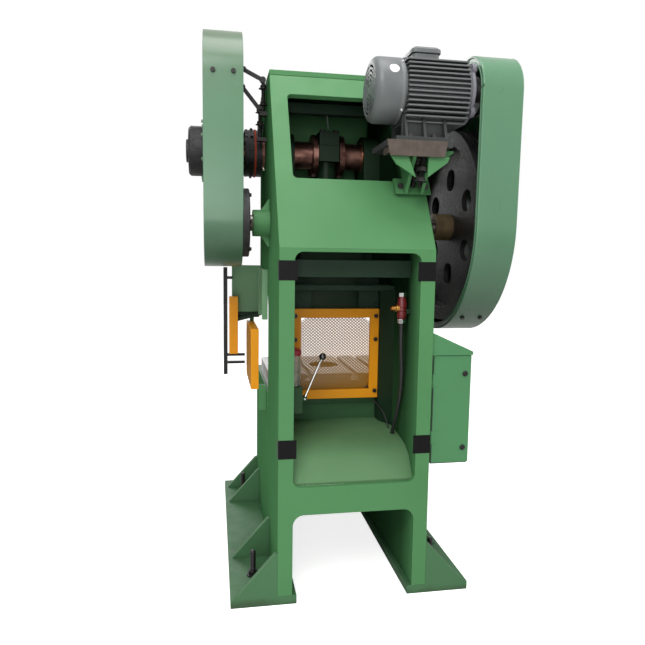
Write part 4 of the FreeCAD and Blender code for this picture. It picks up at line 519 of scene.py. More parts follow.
def softened(node, finish, slot, soft_edge):
    """A copy of one CAD solid with rounded edges and a finish."""
    source = frame["nodes"][node]
    shape = bmesh.new()
    shape.from_mesh(source.data)
    bmesh.ops.remove_doubles(shape, verts=shape.verts, dist=0.00002)
    bmesh.ops.dissolve_limit(shape, angle_limit=math.radians(1), verts=shape.verts,
                             edges=shape.edges)
    register(node + "_finished", shape, finish, body_of(source)[0], slot, [node], soft_edge)


# %% [markdown]
# ## Shapes from a few bmesh operators
#
# New pieces are made in a bmesh, Blender's editable mesh. A drawing gives lengths in
# millimetres, so the shapes are made in millimetres and scaled once at the end. Most of a
# machine is blocks, bars, turned profiles and hexagons, so there is one short function for
# each. A turned part is its half outline spun about an axis, exactly as on a lathe.

# %% Blocks, bars and turns
X, Y, Z = Vector((1, 0, 0)), Vector((0, 1, 0)), Vector((0, 0, 1))


def pointing(direction):
    """Turns a shape made along Z so that it points in a direction."""
    return Vector(direction).to_track_quat("Z", "Y").to_matrix().to_4x4()


def add_block(shape, low, high):
    """A block between two opposite corners, in either order."""
    middle = [(a + b) / 2 for a, b in zip(low, high)]
    lengths = [abs(b - a) for a, b in zip(low, high)]
    place = Matrix.Translation(middle) @ Matrix.Diagonal((*lengths, 1))
    return bmesh.ops.create_cube(shape, size=1.0, matrix=place)["verts"]


def add_rounded_block(shape, low, high, axis, radius, segments):
    """The first block of a shape, with its edges along an axis rounded."""
    add_block(shape, low, high)
    corners = [edge for edge in shape.edges
               if abs((edge.verts[0].co - edge.verts[1].co).dot(axis)) > 1]
    bmesh.ops.bevel(shape, geom=corners, offset=radius, offset_type="OFFSET",
                    segments=segments, profile=0.5, affect="EDGES", material=-1)


def turn(shape, verts, degrees, axis, place=(0, 0, 0)):
    """Turns points about an axis through the origin and then moves them."""
    bmesh.ops.rotate(shape, cent=(0, 0, 0), verts=verts,
                     matrix=Matrix.Rotation(math.radians(degrees), 3, axis))
    bmesh.ops.translate(shape, vec=place, verts=verts)


def spokes(count, start=0):
    """Evenly spaced directions square to X, from an angle in degrees above +Y."""
    for step in range(count):
        around = math.radians(start + 360 * step / count)
        yield Vector((0, math.cos(around), math.sin(around)))


def add_bar(shape, start, direction, length, radius, end_radius=None, sides=32):
    """A round bar or a cone that starts at a point and runs along a direction."""
    along = Vector(direction).normalized()
    place = Matrix.Translation(Vector(start) + along * length / 2) @ pointing(along)
    return bmesh.ops.create_cone(
        shape, cap_ends=True, segments=sides, radius1=radius,
        radius2=radius if end_radius is None else end_radius, depth=length,
        matrix=place)["verts"]


# %% Turned parts, bolts and threads
def add_turned(shape, start, direction, outline, steps=64):
    """Spins an outline of (distance along the axis, radius) points about the axis."""
    along = Vector(direction).normalized()
    place = Matrix.Translation(start) @ pointing(along)
    corners = [shape.verts.new(place @ Vector((radius, 0, far))) for far, radius in outline]
    edges = [shape.edges.new(pair) for pair in zip(corners, corners[1:])]
    bmesh.ops.spin(shape, geom=corners + edges, cent=start, axis=along, angle=math.tau,
                   steps=steps, use_merge=True)


def add_bolt(shape, seat, direction, flats, head, washer=0.0):
    """A hexagon head with chamfered corners, on a washer if it has one."""
    along = Vector(direction).normalized()
    corner = flats / math.sqrt(3)
    start = Vector(seat)
    if washer:
        add_bar(shape, start, along, washer, corner * 1.35, corner * 1.28, sides=24)
        start = start + along * washer
    add_bar(shape, start, along, head * 0.82, corner, sides=6)
    add_bar(shape, start + along * head * 0.8, along, head * 0.2, corner, corner * 0.86,
            sides=6)


def thread_outline(length, radius, pitch=3.0, depth=1.4):
    """The half outline of a threaded rod, with a ridge every pitch."""
    outline = [(0, 0), (0, radius - depth)]
    for step in range(int(length / pitch) - 1):
        outline += [((step + 0.5) * pitch, radius), ((step + 1) * pitch, radius - depth)]
    return outline + [(length - 1, radius - depth), (length, radius - 2 * depth), (length, 0)]


# %% Loops, plates and the last step of a piece
def add_loop(shape, points, radius, sides=10):
    """A round tube along a row of points that ends where it began."""
    points = [Vector(point) for point in points]
    rings = []
    for before, point, after in zip(points[-1:] + points, points, points[1:] + points[:1]):
        facing = (after - before).to_track_quat("Z", "Y")
        rings.append([shape.verts.new(point + facing @ Vector(
            (radius * math.cos(step * math.tau / sides),
             radius * math.sin(step * math.tau / sides), 0))) for step in range(sides)])
    first, last = rings[0], rings[-1]
    nearest = min(range(sides), key=lambda step: (first[step].co - last[0].co).length)
    rings.append(first[nearest:] + first[:nearest])
    for ring, following in zip(rings, rings[1:]):
        for step in range(sides):
            beyond = (step + 1) % sides
            shape.faces.new((ring[step], ring[beyond], following[beyond], following[step]))


def add_plate(shape, outline, start, thickness):
    """A flat plate that stands upright: an outline of (x, z) points from y = start."""
    corners = [shape.verts.new((x, start, z)) for x, z in outline]
    grown = bmesh.ops.extrude_face_region(shape, geom=[shape.faces.new(corners)])["geom"]
    moved = [part for part in grown if isinstance(part, bmesh.types.BMVert)]
    bmesh.ops.translate(shape, vec=(0, thickness, 0), verts=moved)


def finish_piece(name, shape, *settings, **more_settings):
    """Closes the shape and scales it to metres; the settings are those of register."""
    bmesh.ops.remove_doubles(shape, verts=shape.verts, dist=0.001)
    bmesh.ops.recalc_face_normals(shape, faces=shape.faces)
    bmesh.ops.scale(shape, vec=(MM, MM, MM), verts=shape.verts)
    piece = register(name, shape, *settings, **more_settings)
    print(name, len(piece.data.polygons), "faces")


# %% [markdown]
# ## Hoses and cables
#
# A black air hose hangs from the regulator to the sloped floor sheet inside the rear opening, a
# thin cable runs from the rear guard to the same spot, and a grey oil pipe curves down on to
# the rod. Each is a flexible thing, so each is one smooth curve through a few points with a
# round section, never a row of straight tubes. The points are the corners that the CAD route
# goes round; a NURBS spline passes inside them as a real hose would.

# %% Run a hose along its route
def run_hose(name, route, radius, finish, nodes):
    """One open NURBS curve with a round section."""
    curve = bpy.data.curves.new(name, "CURVE")
    curve.dimensions = "3D"
    spline = curve.splines.new("NURBS")
    spline.points.add(len(route) - 1)
    for point, place in zip(spline.points, route):
        point.co = (*[value * MM for value in place], 1)
    spline.order_u = 3
    spline.use_endpoint_u = True
    spline.resolution_u = 16
    curve.bevel_depth = radius * MM
    curve.bevel_resolution = 6
    curve.use_fill_caps = True
    curve.materials.append(finish)
    hose = add_object(name, curve)
    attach(hose, "frame")
    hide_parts(nodes)


air_route = [(-216, 520, 1122), (-217, 517, 1032), (-230, 500, 922), (-233, 482, 812),
             (-230, 445, 717), (-224, 398, 612.2)]
cable_route = [(-185, 220, 723), (-199, 258, 705), (-217, 306, 677), (-227, 341, 617)]
oil_route = [(24, 35, 2054), (22, 30, 2036), (14, 5, 2020), (10, -1, 1999)]
run_hose("air_hose_run", air_route, 8, rubber, "air_hose")
run_hose("guard_cable", cable_route, 3, rubber, "air_hose")
run_hose("oil_pipe_run", oil_route, 3, pipe_plastic, "oil_pipe")
print("hoses run from", air_route[0], "and", oil_route[0])

# %% [markdown]
# ## Which solid gets which finish
#
# Most of the frame keeps its CAD form. The table gives each solid its finish, the record's slot
# it belongs to, and how round its edges are in millimetres: 2 to 4 on castings and flame-cut
# plates, 1 to 2 on sheet, brackets and shafts, and less on bushes, teeth, pulleys and bolts.

# %% Finish the solids
FINISHED = (
    (press_green, "green_paint", 4.0, "connecting_rod_cap"),
    (press_green, "green_paint", 3.0, "cheeks slide bearing_housings connecting_rod"),
    (press_green, "green_paint", 2.5, "rear_plate sloped_rear_plate"),
    (press_green, "green_paint", 2.0, "head_plates bed_plates oil_pump_body"),
    (press_green, "green_paint", 1.5, "slide_guides"),
    (press_green, "green_paint", 1.2, "motor_bracket"),
    (press_green, "green_paint", 1.0, "brackets"),
    (shade_painted_green, "green_paint", 2.0, "cross_beams"),
    (shade_painted_green, "green_paint", 1.5, "throat_liners"),
    (bed_green, "green_paint", 1.0, "floor_sheet"),
    (lit_mount_green, "green_paint", 2.0, "side_mounts"),
    (box_green, "green_paint", 2.0, "cabinet cabinet_door"),
    (belt_green, "guard_paint", 2.0, "belt_guard"),
    (gear_green, "guard_paint", 2.0, "gear_guard"),
    (yellow_paint, "yellow_paint", 1.5, "rear_guard_frame side_guards"),
    (black_paint, "black_paint", 1.0, "light_bar_posts"),
    (base_green, "base_iron", 2.0, "feet"),
    (milled_steel, "machined_steel", 2.0, "bolster"),
    (milled_steel, "machined_steel", 1.5, "shank_clamp knock_out_bar"),
    (crank_steel, "machined_steel", 1.0, "ball_screw"),
    (drive_steel, "machined_steel", 1.5, "drive_shaft"),
    (drive_steel, "machined_steel", 0.6, "pinion"),
    (motor_steel, "machined_steel", 0.8, "motor_shaft"),
    (crank_copper, "warm_steel", 2.0, "crankshaft"),
    (hub_tan, "warm_steel", 2.0, "flywheel_hub"),
    (bush_bronze, "bronze", 0.5, "rod_bush"),
    (bush_bronze, "bronze", 0.8, "bearing_bushes"),
    (dark_iron, "dark_iron", 2.0, "flywheel crank_end_hub brake_block"),
    (dark_iron, "dark_iron", 1.5, "clutch_disc"),
    (dark_iron, "dark_iron", 0.8, "bull_gear motor_pulley"),
    (belt_rubber, "rubber", 0.8, "v_belts"),
    (black_oxide, "zinc", 0.8, "hex_bolts cap_bolts"),
)
for finish, slot, soft_edge, names in FINISHED:
    for node in names.split():
        softened(node, finish, slot, soft_edge)
print("finished", sum(len(row[3].split()) for row in FINISHED), "solids")

# %% [markdown]
# ## The motor
#
# A foot-mounted motor of ordinary make: a cast barrel with straight level cooling fins, a
# pressed-steel fan cowl with a slotted end, an end shield with four ears at the belt end, and a
# terminal box on top. The fins could be one texture, but they are 20 mm deep and throw real
# shadows, so each fin is a plate that runs from the barrel out to a rounded square.

# %% Barrel, fins and feet
MOTOR_Y, MOTOR_Z = 550, 2043
MOTOR_CENTRE = Vector((0, MOTOR_Y, MOTOR_Z))
COWL_OPEN, BARREL_END = -160, -430
PLATE_TOP = 1840
FIN_PITCH, FIN_HALF, FIN_ROOT = 17.4, 3.0, 104
FIN_CIRCLE, FIN_SQUARE, SQUARENESS = 126, 132, 3.2
FIN_START, FIN_END = BARREL_END + 12, COWL_OPEN - 12


def half_chord(radius, offset):
    """How far a circle reaches sideways at a distance from its middle line."""
    return math.sqrt(max(radius ** 2 - offset ** 2, 0))


barrel = bmesh.new()
add_turned(barrel, MOTOR_CENTRE + X * COWL_OPEN, -X,
           [(0, 90), (0, 115), (10, 115), (13, 105), (257, 105), (260, 116), (270, 116),
            (270, 90), (0, 90)])
for step in range(-7, 7):
    offset = step * FIN_PITCH
    inner = half_chord(FIN_ROOT, offset) - 3
    outer = FIN_CIRCLE * (1 - (abs(offset) / FIN_SQUARE) ** SQUARENESS) ** (1 / SQUARENESS)
    fin_z = MOTOR_Z + offset - 4
    for way in (1, -1):
        add_block(barrel, (FIN_START, MOTOR_Y + way * inner, fin_z - FIN_HALF),
                  (FIN_END, MOTOR_Y + way * outer, fin_z + FIN_HALF))
for step in (-2.5, -1.5, -0.5, 0.5, 1.5, 2.5):
    fin_y = MOTOR_Y + step * FIN_PITCH
    outer = half_chord(FIN_CIRCLE, step * FIN_PITCH)
    for way in (1, -1):
        add_block(barrel, (FIN_START, fin_y - FIN_HALF, MOTOR_Z + way * FIN_ROOT),
                  (FIN_END, fin_y + FIN_HALF, MOTOR_Z + way * outer))
finish_piece("motor_barrel", barrel, motor_grey, "frame", "grey_paint", ["motor_frame"],
             soft_edge=0.9)

feet = bmesh.new()
FOOT_OUT, FOOT_IN, FOOT_LEFT, FOOT_RIGHT = 108, 52, -352, -132
for way in (1, -1):
    outer_y, inner_y = MOTOR_Y + way * FOOT_OUT, MOTOR_Y + way * FOOT_IN
    add_block(feet, (FOOT_LEFT, inner_y, PLATE_TOP), (FOOT_RIGHT, outer_y, PLATE_TOP + 16))
    add_block(feet, (FOOT_LEFT + 10, inner_y + way * 2, PLATE_TOP + 14),
              (COWL_OPEN - 4, inner_y + way * 18, MOTOR_Z - 76))
    for x in (FOOT_LEFT + 14, (FOOT_LEFT + FOOT_RIGHT) / 2 - 12, COWL_OPEN - 20):
        rib = add_block(feet, (x, inner_y, PLATE_TOP + 14), (x + 11, outer_y, MOTOR_Z - 92))
        for vert in rib:
            if vert.co.z > PLATE_TOP + 40 and abs(vert.co.y - MOTOR_Y) > FOOT_OUT - 1:
                vert.co.y = inner_y + way * 22
finish_piece("motor_feet", feet, foot_grey, "frame", "grey_paint", ["motor_frame"], soft_edge=1.5)

foot_bolts = bmesh.new()
for x in (FOOT_LEFT + 62, FOOT_RIGHT - 62):
    for way in (1, -1):
        add_bolt(foot_bolts, (x, MOTOR_Y + way * 90, PLATE_TOP + 16), Z, 22, 12, 3)
finish_piece("motor_foot_bolts", foot_bolts, black_oxide, "frame", "zinc", soft_edge=0.5)

# %% [markdown]
# ## The fan cowl and its grille
#
# The cowl is pressed from thin sheet: a smooth drum, a rounded shoulder and a flat end with
# rings of air slots. A spun outline makes the drum with its true wall. The grille is a few
# flat rings joined by six spokes, which is how the slots read from any side.

# %% Cowl, grille and end shield
cowl = bmesh.new()
add_turned(cowl, MOTOR_CENTRE + X * COWL_OPEN, X,
           [(0, 122.5), (0, 125), (9, 125), (11, 123.6), (15, 123.6), (17, 125), (85, 125),
            (95, 123), (104, 117), (110, 108), (112, 100), (109.5, 100), (107, 107),
            (101, 115), (93, 120.5), (0, 122.5)], 96)
for inner, outer in ((0, 16), (25, 33), (42, 50), (59, 67), (76, 84), (93, 101)):
    add_turned(cowl, MOTOR_CENTRE + X * (COWL_OPEN + 109), X,
               [(0, inner), (2.5, inner), (2.5, outer), (0, outer), (0, inner)], 72)
for step in range(6):
    arm = add_block(cowl, (COWL_OPEN + 109.2, -4, 14), (COWL_OPEN + 111.2, 4, 98))
    turn(cowl, arm, 60 * step, "X", MOTOR_CENTRE)
finish_piece("motor_cowl", cowl, motor_grey, "frame", "grey_paint", ["motor_covers"],
             smooth_angle=40)

cowl_screws = bmesh.new()
for outward in spokes(4, 45):
    seat = MOTOR_CENTRE + X * (COWL_OPEN + 5) + outward * 124.4
    add_bar(cowl_screws, seat, outward, 1.6, 7, 6.6, 20)
    add_bolt(cowl_screws, seat + outward * 1.6, outward, 9, 5)
finish_piece("motor_cowl_screws", cowl_screws, zinc, "frame", "zinc", soft_edge=0.3)

EAR_CIRCLE = 112
shield = bmesh.new()
add_turned(shield, MOTOR_CENTRE + X * BARREL_END, -X,
           [(0, 30), (0, 117), (12, 117), (15, 112), (17, 96), (20, 62), (24, 58), (24, 26),
            (0, 26), (0, 30)], 80)
for step in range(4):
    ear = add_bar(shield, (BARREL_END - 1, 0, EAR_CIRCLE), -X, 18, 24, 21, 28)
    ear += add_block(shield, (BARREL_END - 17, -21, 84), (BARREL_END - 1, 21, EAR_CIRCLE))
    turn(shield, ear, 45 + 90 * step, "X", MOTOR_CENTRE)
for step in range(8):
    vane = add_block(shield, (BARREL_END - 20, -2.5, 40), (BARREL_END - 4, 2.5, 104))
    turn(shield, vane, 45 * step, "X", MOTOR_CENTRE)
finish_piece("motor_end_shield", shield, shield_grey, "frame", "grey_paint", ["motor_covers"],
             soft_edge=1.0)

shield_bolts = bmesh.new()
for outward in spokes(4, 45):
    seat = MOTOR_CENTRE + X * (BARREL_END - 19) + outward * EAR_CIRCLE
    add_bolt(shield_bolts, seat, -X, 14, 7, 1.5)
finish_piece("motor_shield_bolts", shield_bolts, zinc, "frame", "zinc", soft_edge=0.4)

# %% [markdown]
# ## The terminal box and the blank label
#
# The box is cast in two halves with large soft corners, four screws in the lid and a cable
# gland at its front. The round white label on the cowl is left blank. It is paper-thin and bent
# round the drum, so a flat disc would stand off at its edge: a disc of a few rings is made flat
# and each of its points is then moved on to the drum.

# %% Terminal box and label
BOX_LEFT, BOX_RIGHT, BOX_LOW, LID_LOW, LID_TOP = -314.5, -207.5, 2149, 2179, 2207
BOX_HALF, LID_OVER, LID_SLOPE = 55, 6, 11
case = bmesh.new()
add_rounded_block(case, (BOX_LEFT, MOTOR_Y - BOX_HALF, BOX_LOW),
                  (BOX_RIGHT, MOTOR_Y + BOX_HALF, LID_LOW), Z, 16, 5)
for x in (BOX_LEFT + 14, BOX_RIGHT - 14):
    for way in (1, -1):
        add_bar(case, (x, MOTOR_Y + way * 44, LID_LOW - 22), Z, 22, 8, sides=20)
finish_piece("terminal_case", case, motor_grey, "frame", "grey_paint", ["terminal_box"],
             soft_edge=2.0)

lid = bmesh.new()
lid_half = BOX_HALF + LID_OVER
add_rounded_block(lid, (BOX_LEFT - LID_OVER, MOTOR_Y - lid_half, LID_LOW + 1),
                  (BOX_RIGHT + LID_OVER, MOTOR_Y + lid_half, LID_TOP), Z, 20, 6)
top_faces = [face for face in lid.faces if face.normal.z > 0.9]
bmesh.ops.inset_region(lid, faces=top_faces, thickness=17, depth=0)
for vert in lid.verts:
    from_rim = min(vert.co.x - BOX_LEFT + LID_OVER, BOX_RIGHT + LID_OVER - vert.co.x,
                   lid_half - abs(vert.co.y - MOTOR_Y))
    if vert.co.z > LID_TOP - 1 and from_rim < 8:
        vert.co.z -= LID_SLOPE
finish_piece("terminal_lid", lid, motor_grey, "frame", "grey_paint", ["terminal_box"],
             soft_edge=3.0, segments=3)

box_fittings = bmesh.new()
for x in (BOX_LEFT + 14, BOX_RIGHT - 14):
    for way in (1, -1):
        add_bar(box_fittings, (x, MOTOR_Y + way * 46, LID_TOP - 12), Z, 6, 5, 4.4, 20)
gland_x, gland_z = (BOX_LEFT + BOX_RIGHT) / 2, 2169
add_bolt(box_fittings, (gland_x, MOTOR_Y - BOX_HALF, gland_z), -Y, 18, 8)
add_turned(box_fittings, (gland_x, MOTOR_Y - 62, gland_z), -Y,
           [(0, 0), (0, 9.5), (14, 9.5), (20, 8), (27, 5), (27, 0)], 32)
finish_piece("terminal_fittings", box_fittings, motor_grey, "frame", "grey_paint",
             ["terminal_box"], soft_edge=0.5)

label = bmesh.new()
LABEL_X, LABEL_RISE, LABEL_RADIUS, DRUM = -117, math.radians(27), 19, 125.6
bmesh.ops.create_circle(label, cap_ends=True, radius=LABEL_RADIUS, segments=40)
for ring in range(8):
    middle = max(label.faces, key=lambda face: len(face.verts))
    bmesh.ops.inset_region(label, faces=[middle], thickness=2.2, use_boundary=True)
for vert in label.verts:
    around = LABEL_RISE + vert.co.y / DRUM
    vert.co = (LABEL_X + vert.co.x, MOTOR_Y + DRUM * math.cos(around),
               MOTOR_Z + DRUM * math.sin(around))
finish_piece("blank_label", label, white_label, "frame", None)

# %% [markdown]
# ## Under the motor
#
# The motor stands on a plate with a folded skirt of raw steel, and two green wings below it
# lead the load into the bracket's foot. A long screw leans from the foot up to the plate, and
# turning its nuts tightens the belts. The CAD has the screw as a plain rod that is part of the
# bracket, so the dark threaded rod here is a little wider and covers it. The skirt and the
# wings are flat plates with sloping corners, so each is an outline that gets a thickness.

# %% Plate, skirt, wings and tension screw
motor_base = bmesh.new()
add_block(motor_base, (-360, 436, PLATE_TOP - 22), (-96, 660, PLATE_TOP))
finish_piece("motor_base_plate", motor_base, foot_grey, "frame", "base_iron", ["motor_plate"],
             soft_edge=1.2)
skirt = bmesh.new()
add_plate(skirt, [(-336, PLATE_TOP), (-93, PLATE_TOP), (-108, 1780), (-326, 1780)], 660, 8)
for left in (-332, -108):
    add_block(skirt, (left, 590, 1790), (left + 7, 660, PLATE_TOP - 23))
finish_piece("motor_base_skirt", skirt, raw_base, "frame", "base_iron", soft_edge=1.2)

wings = bmesh.new()
add_plate(wings, [(-114, 1784), (-184, 1784), (-216, 1704), (-136, 1752)], 640, 12)
add_plate(wings, [(-266, 1784), (-352, 1784), (-342, 1762), (-263, 1704)], 640, 12)
finish_piece("bracket_wings", wings, press_green, "frame", "green_paint", soft_edge=1.2)

SCREW_FOOT, SCREW_LENGTH = Vector((-247.5, 518, 1683.5)), 153
screw_way = Vector((0, math.sin(math.radians(35)), math.cos(math.radians(35))))
screw = bmesh.new()
add_turned(screw, SCREW_FOOT, screw_way, thread_outline(SCREW_LENGTH, 10.6), 20)
for share in (0.28, 0.73):
    add_bolt(screw, SCREW_FOOT + screw_way * SCREW_LENGTH * share, screw_way, 33, 19, 3)
jack_foot, jack_way = Vector((-240, 628, 1668)), Vector((-0.12, 0, 1))
add_turned(screw, jack_foot, jack_way, thread_outline(120, 9), 20)
for rise in (22, 62):
    add_bolt(screw, jack_foot + jack_way * rise, jack_way, 32, 15, 3)
finish_piece("tension_screw", screw, black_oxide, "frame", "dark_iron", smooth_angle=50)

# %% [markdown]
# ## The cabinet
#
# The cabinet hangs on the frame's flank and keeps the form of its solids. Its door gets a
# rubber seal that shows as a dark line, two quarter-turn locks and two hinges with visible pins.
# The locks turn with their own bodies, so each has a slot that makes the turn visible.

# %% Locks, hinges and seal
DOOR_REAR, DOOR_IN, DOOR_OUT, DOOR_LOW, DOOR_HIGH = 630.5, -320, -485, 552, 1002
for name, body, z in (("upper_lock", "lock_high", 925.5), ("lower_lock", "lock_low", 615)):
    lock = bmesh.new()
    add_turned(lock, (-459, DOOR_REAR - 3, z), Y,
               [(0, 0), (0, 12), (5, 12), (7, 10.5), (8, 8.5), (6.6, 7.5), (6.6, 0)], 36)
    add_block(lock, (-465.5, DOOR_REAR + 2, z - 1.6), (-452.5, DOOR_REAR + 5, z + 1.6))
    finish_piece(name + "_face", lock, black_oxide, body, "zinc", [name], soft_edge=0.3)

hinges = bmesh.new()
for low in (636, 872):
    for part in range(3):
        add_bar(hinges, (DOOR_IN - 1, DOOR_REAR, low + part * 17), Z, 16, 4.6, sides=24)
    add_bar(hinges, (DOOR_IN - 1, DOOR_REAR, low - 4), Z, 59, 2.4, sides=16)
    add_block(hinges, (DOOR_IN - 32, DOOR_REAR - 1, low), (DOOR_IN - 1, DOOR_REAR + 1.6, low + 50))
finish_piece("door_hinges", hinges, box_green, "door", "green_paint", soft_edge=0.4)
seal = bmesh.new()
add_block(seal, (DOOR_IN - 5, DOOR_REAR - 14, DOOR_LOW + 1),
          (DOOR_IN - 1, DOOR_REAR + 0.4, DOOR_HIGH - 4))
add_block(seal, (DOOR_OUT + 6, DOOR_REAR - 16, DOOR_LOW - 3), (DOOR_IN - 2, DOOR_REAR - 2,
                                                               DOOR_LOW + 1))
finish_piece("door_seal", seal, rubber, "door", "rubber", soft_edge=0.5)

# %% [markdown]
# ## Fillers over the rear guard
#
# Two narrow plates close the neck between the top of the mesh guard and the tie beam, so that
# nobody can reach the slide from behind over the guard.

# %% Fillers
fillers = bmesh.new()
for way in (1, -1):
    add_block(fillers, (way * 112, 184, 1150), (way * 206, 188, 1296))
    for z in (1175, 1270):
        add_bolt(fillers, (way * 192, 188, z), Y, 10, 6, 1.5)
finish_piece("neck_fillers", fillers, shade_painted_green, "frame", "green_paint", soft_edge=0.8)

# %% [markdown]
# ## Stays of the gear guard
#
# The gear guard hangs on two flat bars that lean down to threaded rods beside the head. Each
# bar is clamped between two nuts. The CAD keeps them as plain bars on one plain rod, together
# with the bearing's flange disc, so this piece has all of them again with threads and eyes.

# %% Stays, threaded rods and flange disc
DISC_CENTRE, DISC_RADIUS, DISC_THICK = Vector((430, 225, 1536.4)), 148, 28
stays = bmesh.new()
for rod_x, low, high, nut_rises, bar_end in (
        (327, 2040, 2198, (2078, 2150), (2238, 2190)),
        (341, 1924, 2078, (1990, 2044), (2166, 2060))):
    add_turned(stays, (rod_x, 60, low), Z, thread_outline(high - low, 9), 20)
    for rise in nut_rises:
        add_bolt(stays, (rod_x, 60, rise), Z, 27, 14, 3)
    outer, inner = Vector((431, 60, bar_end[0])), Vector((rod_x + 2, 60, bar_end[1]))
    way = (inner - outer).normalized()
    bar = add_block(stays, (0, -8, -8), ((inner - outer).length, 8, 8))
    bmesh.ops.rotate(stays, cent=(0, 0, 0), verts=bar,
                     matrix=way.to_track_quat("X", "Z").to_matrix())
    bmesh.ops.translate(stays, vec=outer, verts=bar)
    add_bar(stays, inner - Y * 11, Y, 22, 14, sides=28)
    add_bolt(stays, outer + way * 16 + Y * 8, Y, 17, 8, 2)
add_block(stays, (309, 42, 2030), (346, 78, 2048))
add_block(stays, (309, 42, 1916), (356, 78, 1932))
finish_piece("guard_stay_rods", stays, black_oxide, "frame", "dark_iron", ["guard_stays"],
             soft_edge=0.8, smooth_angle=40)
disc = bmesh.new()
add_turned(disc, DISC_CENTRE, -X,
           [(0, 49), (0, DISC_RADIUS), (DISC_THICK - 3, DISC_RADIUS),
            (DISC_THICK, DISC_RADIUS - 3), (DISC_THICK, 49), (0, 49)], 72)
for outward in spokes(6):
    seat = DISC_CENTRE - X * DISC_THICK + outward * (DISC_RADIUS - 16)
    add_bolt(disc, seat, -X, 14, 7, 2)
finish_piece("bearing_flange_disc", disc, dark_iron, "frame", "dark_iron", soft_edge=0.6)

# %% [markdown]
# ## Edges of the belt guard
#
# The guard is folded from sheet, and a sheet edge is never left raw: the mouth towards the
# frame has a rolled wire edge, and a weld runs round the outer face where it meets the rim.
# Both follow the guard's own outline, which is two circles and the lines that touch both.

# %% Rolled edge and weld of the belt guard
GUARD_LOW, GUARD_HIGH = (225, 1536.4, 470), (MOTOR_Y, MOTOR_Z, 150)


def belt_outline(inset, arcs=72):
    """Points round the belt guard's outline as (y, z), a distance inside its rim."""
    (low_y, low_z, low_radius), (high_y, high_z, high_radius) = GUARD_LOW, GUARD_HIGH
    low_radius, high_radius = low_radius - inset, high_radius - inset
    along = math.atan2(high_z - low_z, high_y - low_y)
    far = math.hypot(high_y - low_y, high_z - low_z)
    lean = math.acos((low_radius - high_radius) / far)
    points = []
    for y, z, radius, start, sweep, steps in (
            (low_y, low_z, low_radius, along + lean, math.tau - 2 * lean, arcs),
            (high_y, high_z, high_radius, along - lean, 2 * lean, arcs // 3)):
        for step in range(steps + 1):
            around = start + sweep * step / steps
            points.append((y + radius * math.cos(around), z + radius * math.sin(around)))
    return points


GUARD_MOUTH, GUARD_FACE = -460, -622
rolled = bmesh.new()
for inset, radius in ((5, 5), (25, 3.5)):
    add_loop(rolled, [(GUARD_MOUTH - 1, y, z) for y, z in belt_outline(inset)], radius)
finish_piece("belt_guard_rolled_edge", rolled, belt_green, "frame", "guard_paint", smooth_angle=50)
guard_weld = bmesh.new()
add_loop(guard_weld, [(GUARD_FACE + 2.6, y, z) for y, z in belt_outline(2)], 2.6)
finish_piece("belt_guard_weld", guard_weld, belt_green, "frame", "guard_paint", smooth_angle=50)

# %% [markdown]
# ## Under the light curtain's mount
#
# The mount on the gear side is closed from below by a channel, painted in the darker green
# that stands for shade, and a slanting strut leads its load back into the cheek. They are
# separate bars, so they are built as bars.

# %% Channel and strut
channel = bmesh.new()
add_block(channel, (318, -300, 1078), (452, -250, 1100))
add_block(channel, (318, -300, 1066), (452, -294, 1080))
strut = add_block(channel, (0, -10, -9), (150, 10, 9))
turn(channel, strut, 14, "Y", (312, -235, 1092))
finish_piece("mount_channel", channel, shade_painted_green, "frame", "green_paint", soft_edge=1.0)

# %% [markdown]
# ## Clutch lining, hub ring and front cover
#
# The clutch between the head and the gear guard shows an orange friction lining and a row of
# lugs. The gear guard has a bolted ring where the crank's end hub comes through it, and the
# head has a sheet cover on the operator's side. All are thin parts on a plain surface, which a
# bump can't give an outline, so they are real rings, lugs and plates.

# %% Lining, lugs, ring and cover
CRANK_CENTRE = Vector((0, -105, 1887))
lining = bmesh.new()
add_turned(lining, CRANK_CENTRE + X * 352, X,
           [(0, 60), (0, 113), (9, 113), (9, 60), (0, 60)], 64)
finish_piece("clutch_lining", lining, lining_orange, "crank", None, soft_edge=0.6)
lugs = bmesh.new()
for outward in spokes(10):
    seat = CRANK_CENTRE + X * 374 + outward * 108
    add_bar(lugs, seat, outward, 6, 8, 7, 20)
    add_bolt(lugs, seat + outward * 6 + X * 0.1, outward, 11, 5)
    add_bar(lugs, seat + X * 24, outward, 5, 5, 4, 16)
finish_piece("clutch_lugs", lugs, black_oxide, "crank", "dark_iron", soft_edge=0.4)

hub_ring = bmesh.new()
add_turned(hub_ring, CRANK_CENTRE + X * 593, X,
           [(0, 122), (0, 158), (6, 158), (8, 155), (8, 125), (6, 122), (0, 122)], 72)
for outward in spokes(8, 22.5):
    add_bolt(hub_ring, CRANK_CENTRE + X * 601 + outward * 141, X, 13, 6, 1.5)
finish_piece("hub_ring", hub_ring, gear_green, "frame", "guard_paint", soft_edge=0.5)

COVER_FACE = -320
cover = bmesh.new()
add_rounded_block(cover, (-205, COVER_FACE, 1712), (205, COVER_FACE + 5.5, 2132), Y, 22, 5)
for across in (-188, 0, 188):
    for z in (1729, 2115) if across == 0 else (1729, 1922, 2115):
        add_bolt(cover, (across, COVER_FACE, z), -Y, 12, 6, 1.5)
finish_piece("front_cover", cover, box_green, "frame", "green_paint", soft_edge=1.0)
handles = bmesh.new()
for z in (1870, 1974):
    add_bar(handles, (0, COVER_FACE, z), -Y, 26, 6, sides=20)
add_bar(handles, (0, COVER_FACE - 23, 1862), Z, 120, 6.5, sides=20)
finish_piece("front_cover_handle", handles, black_oxide, "frame", "zinc", soft_edge=1.0)

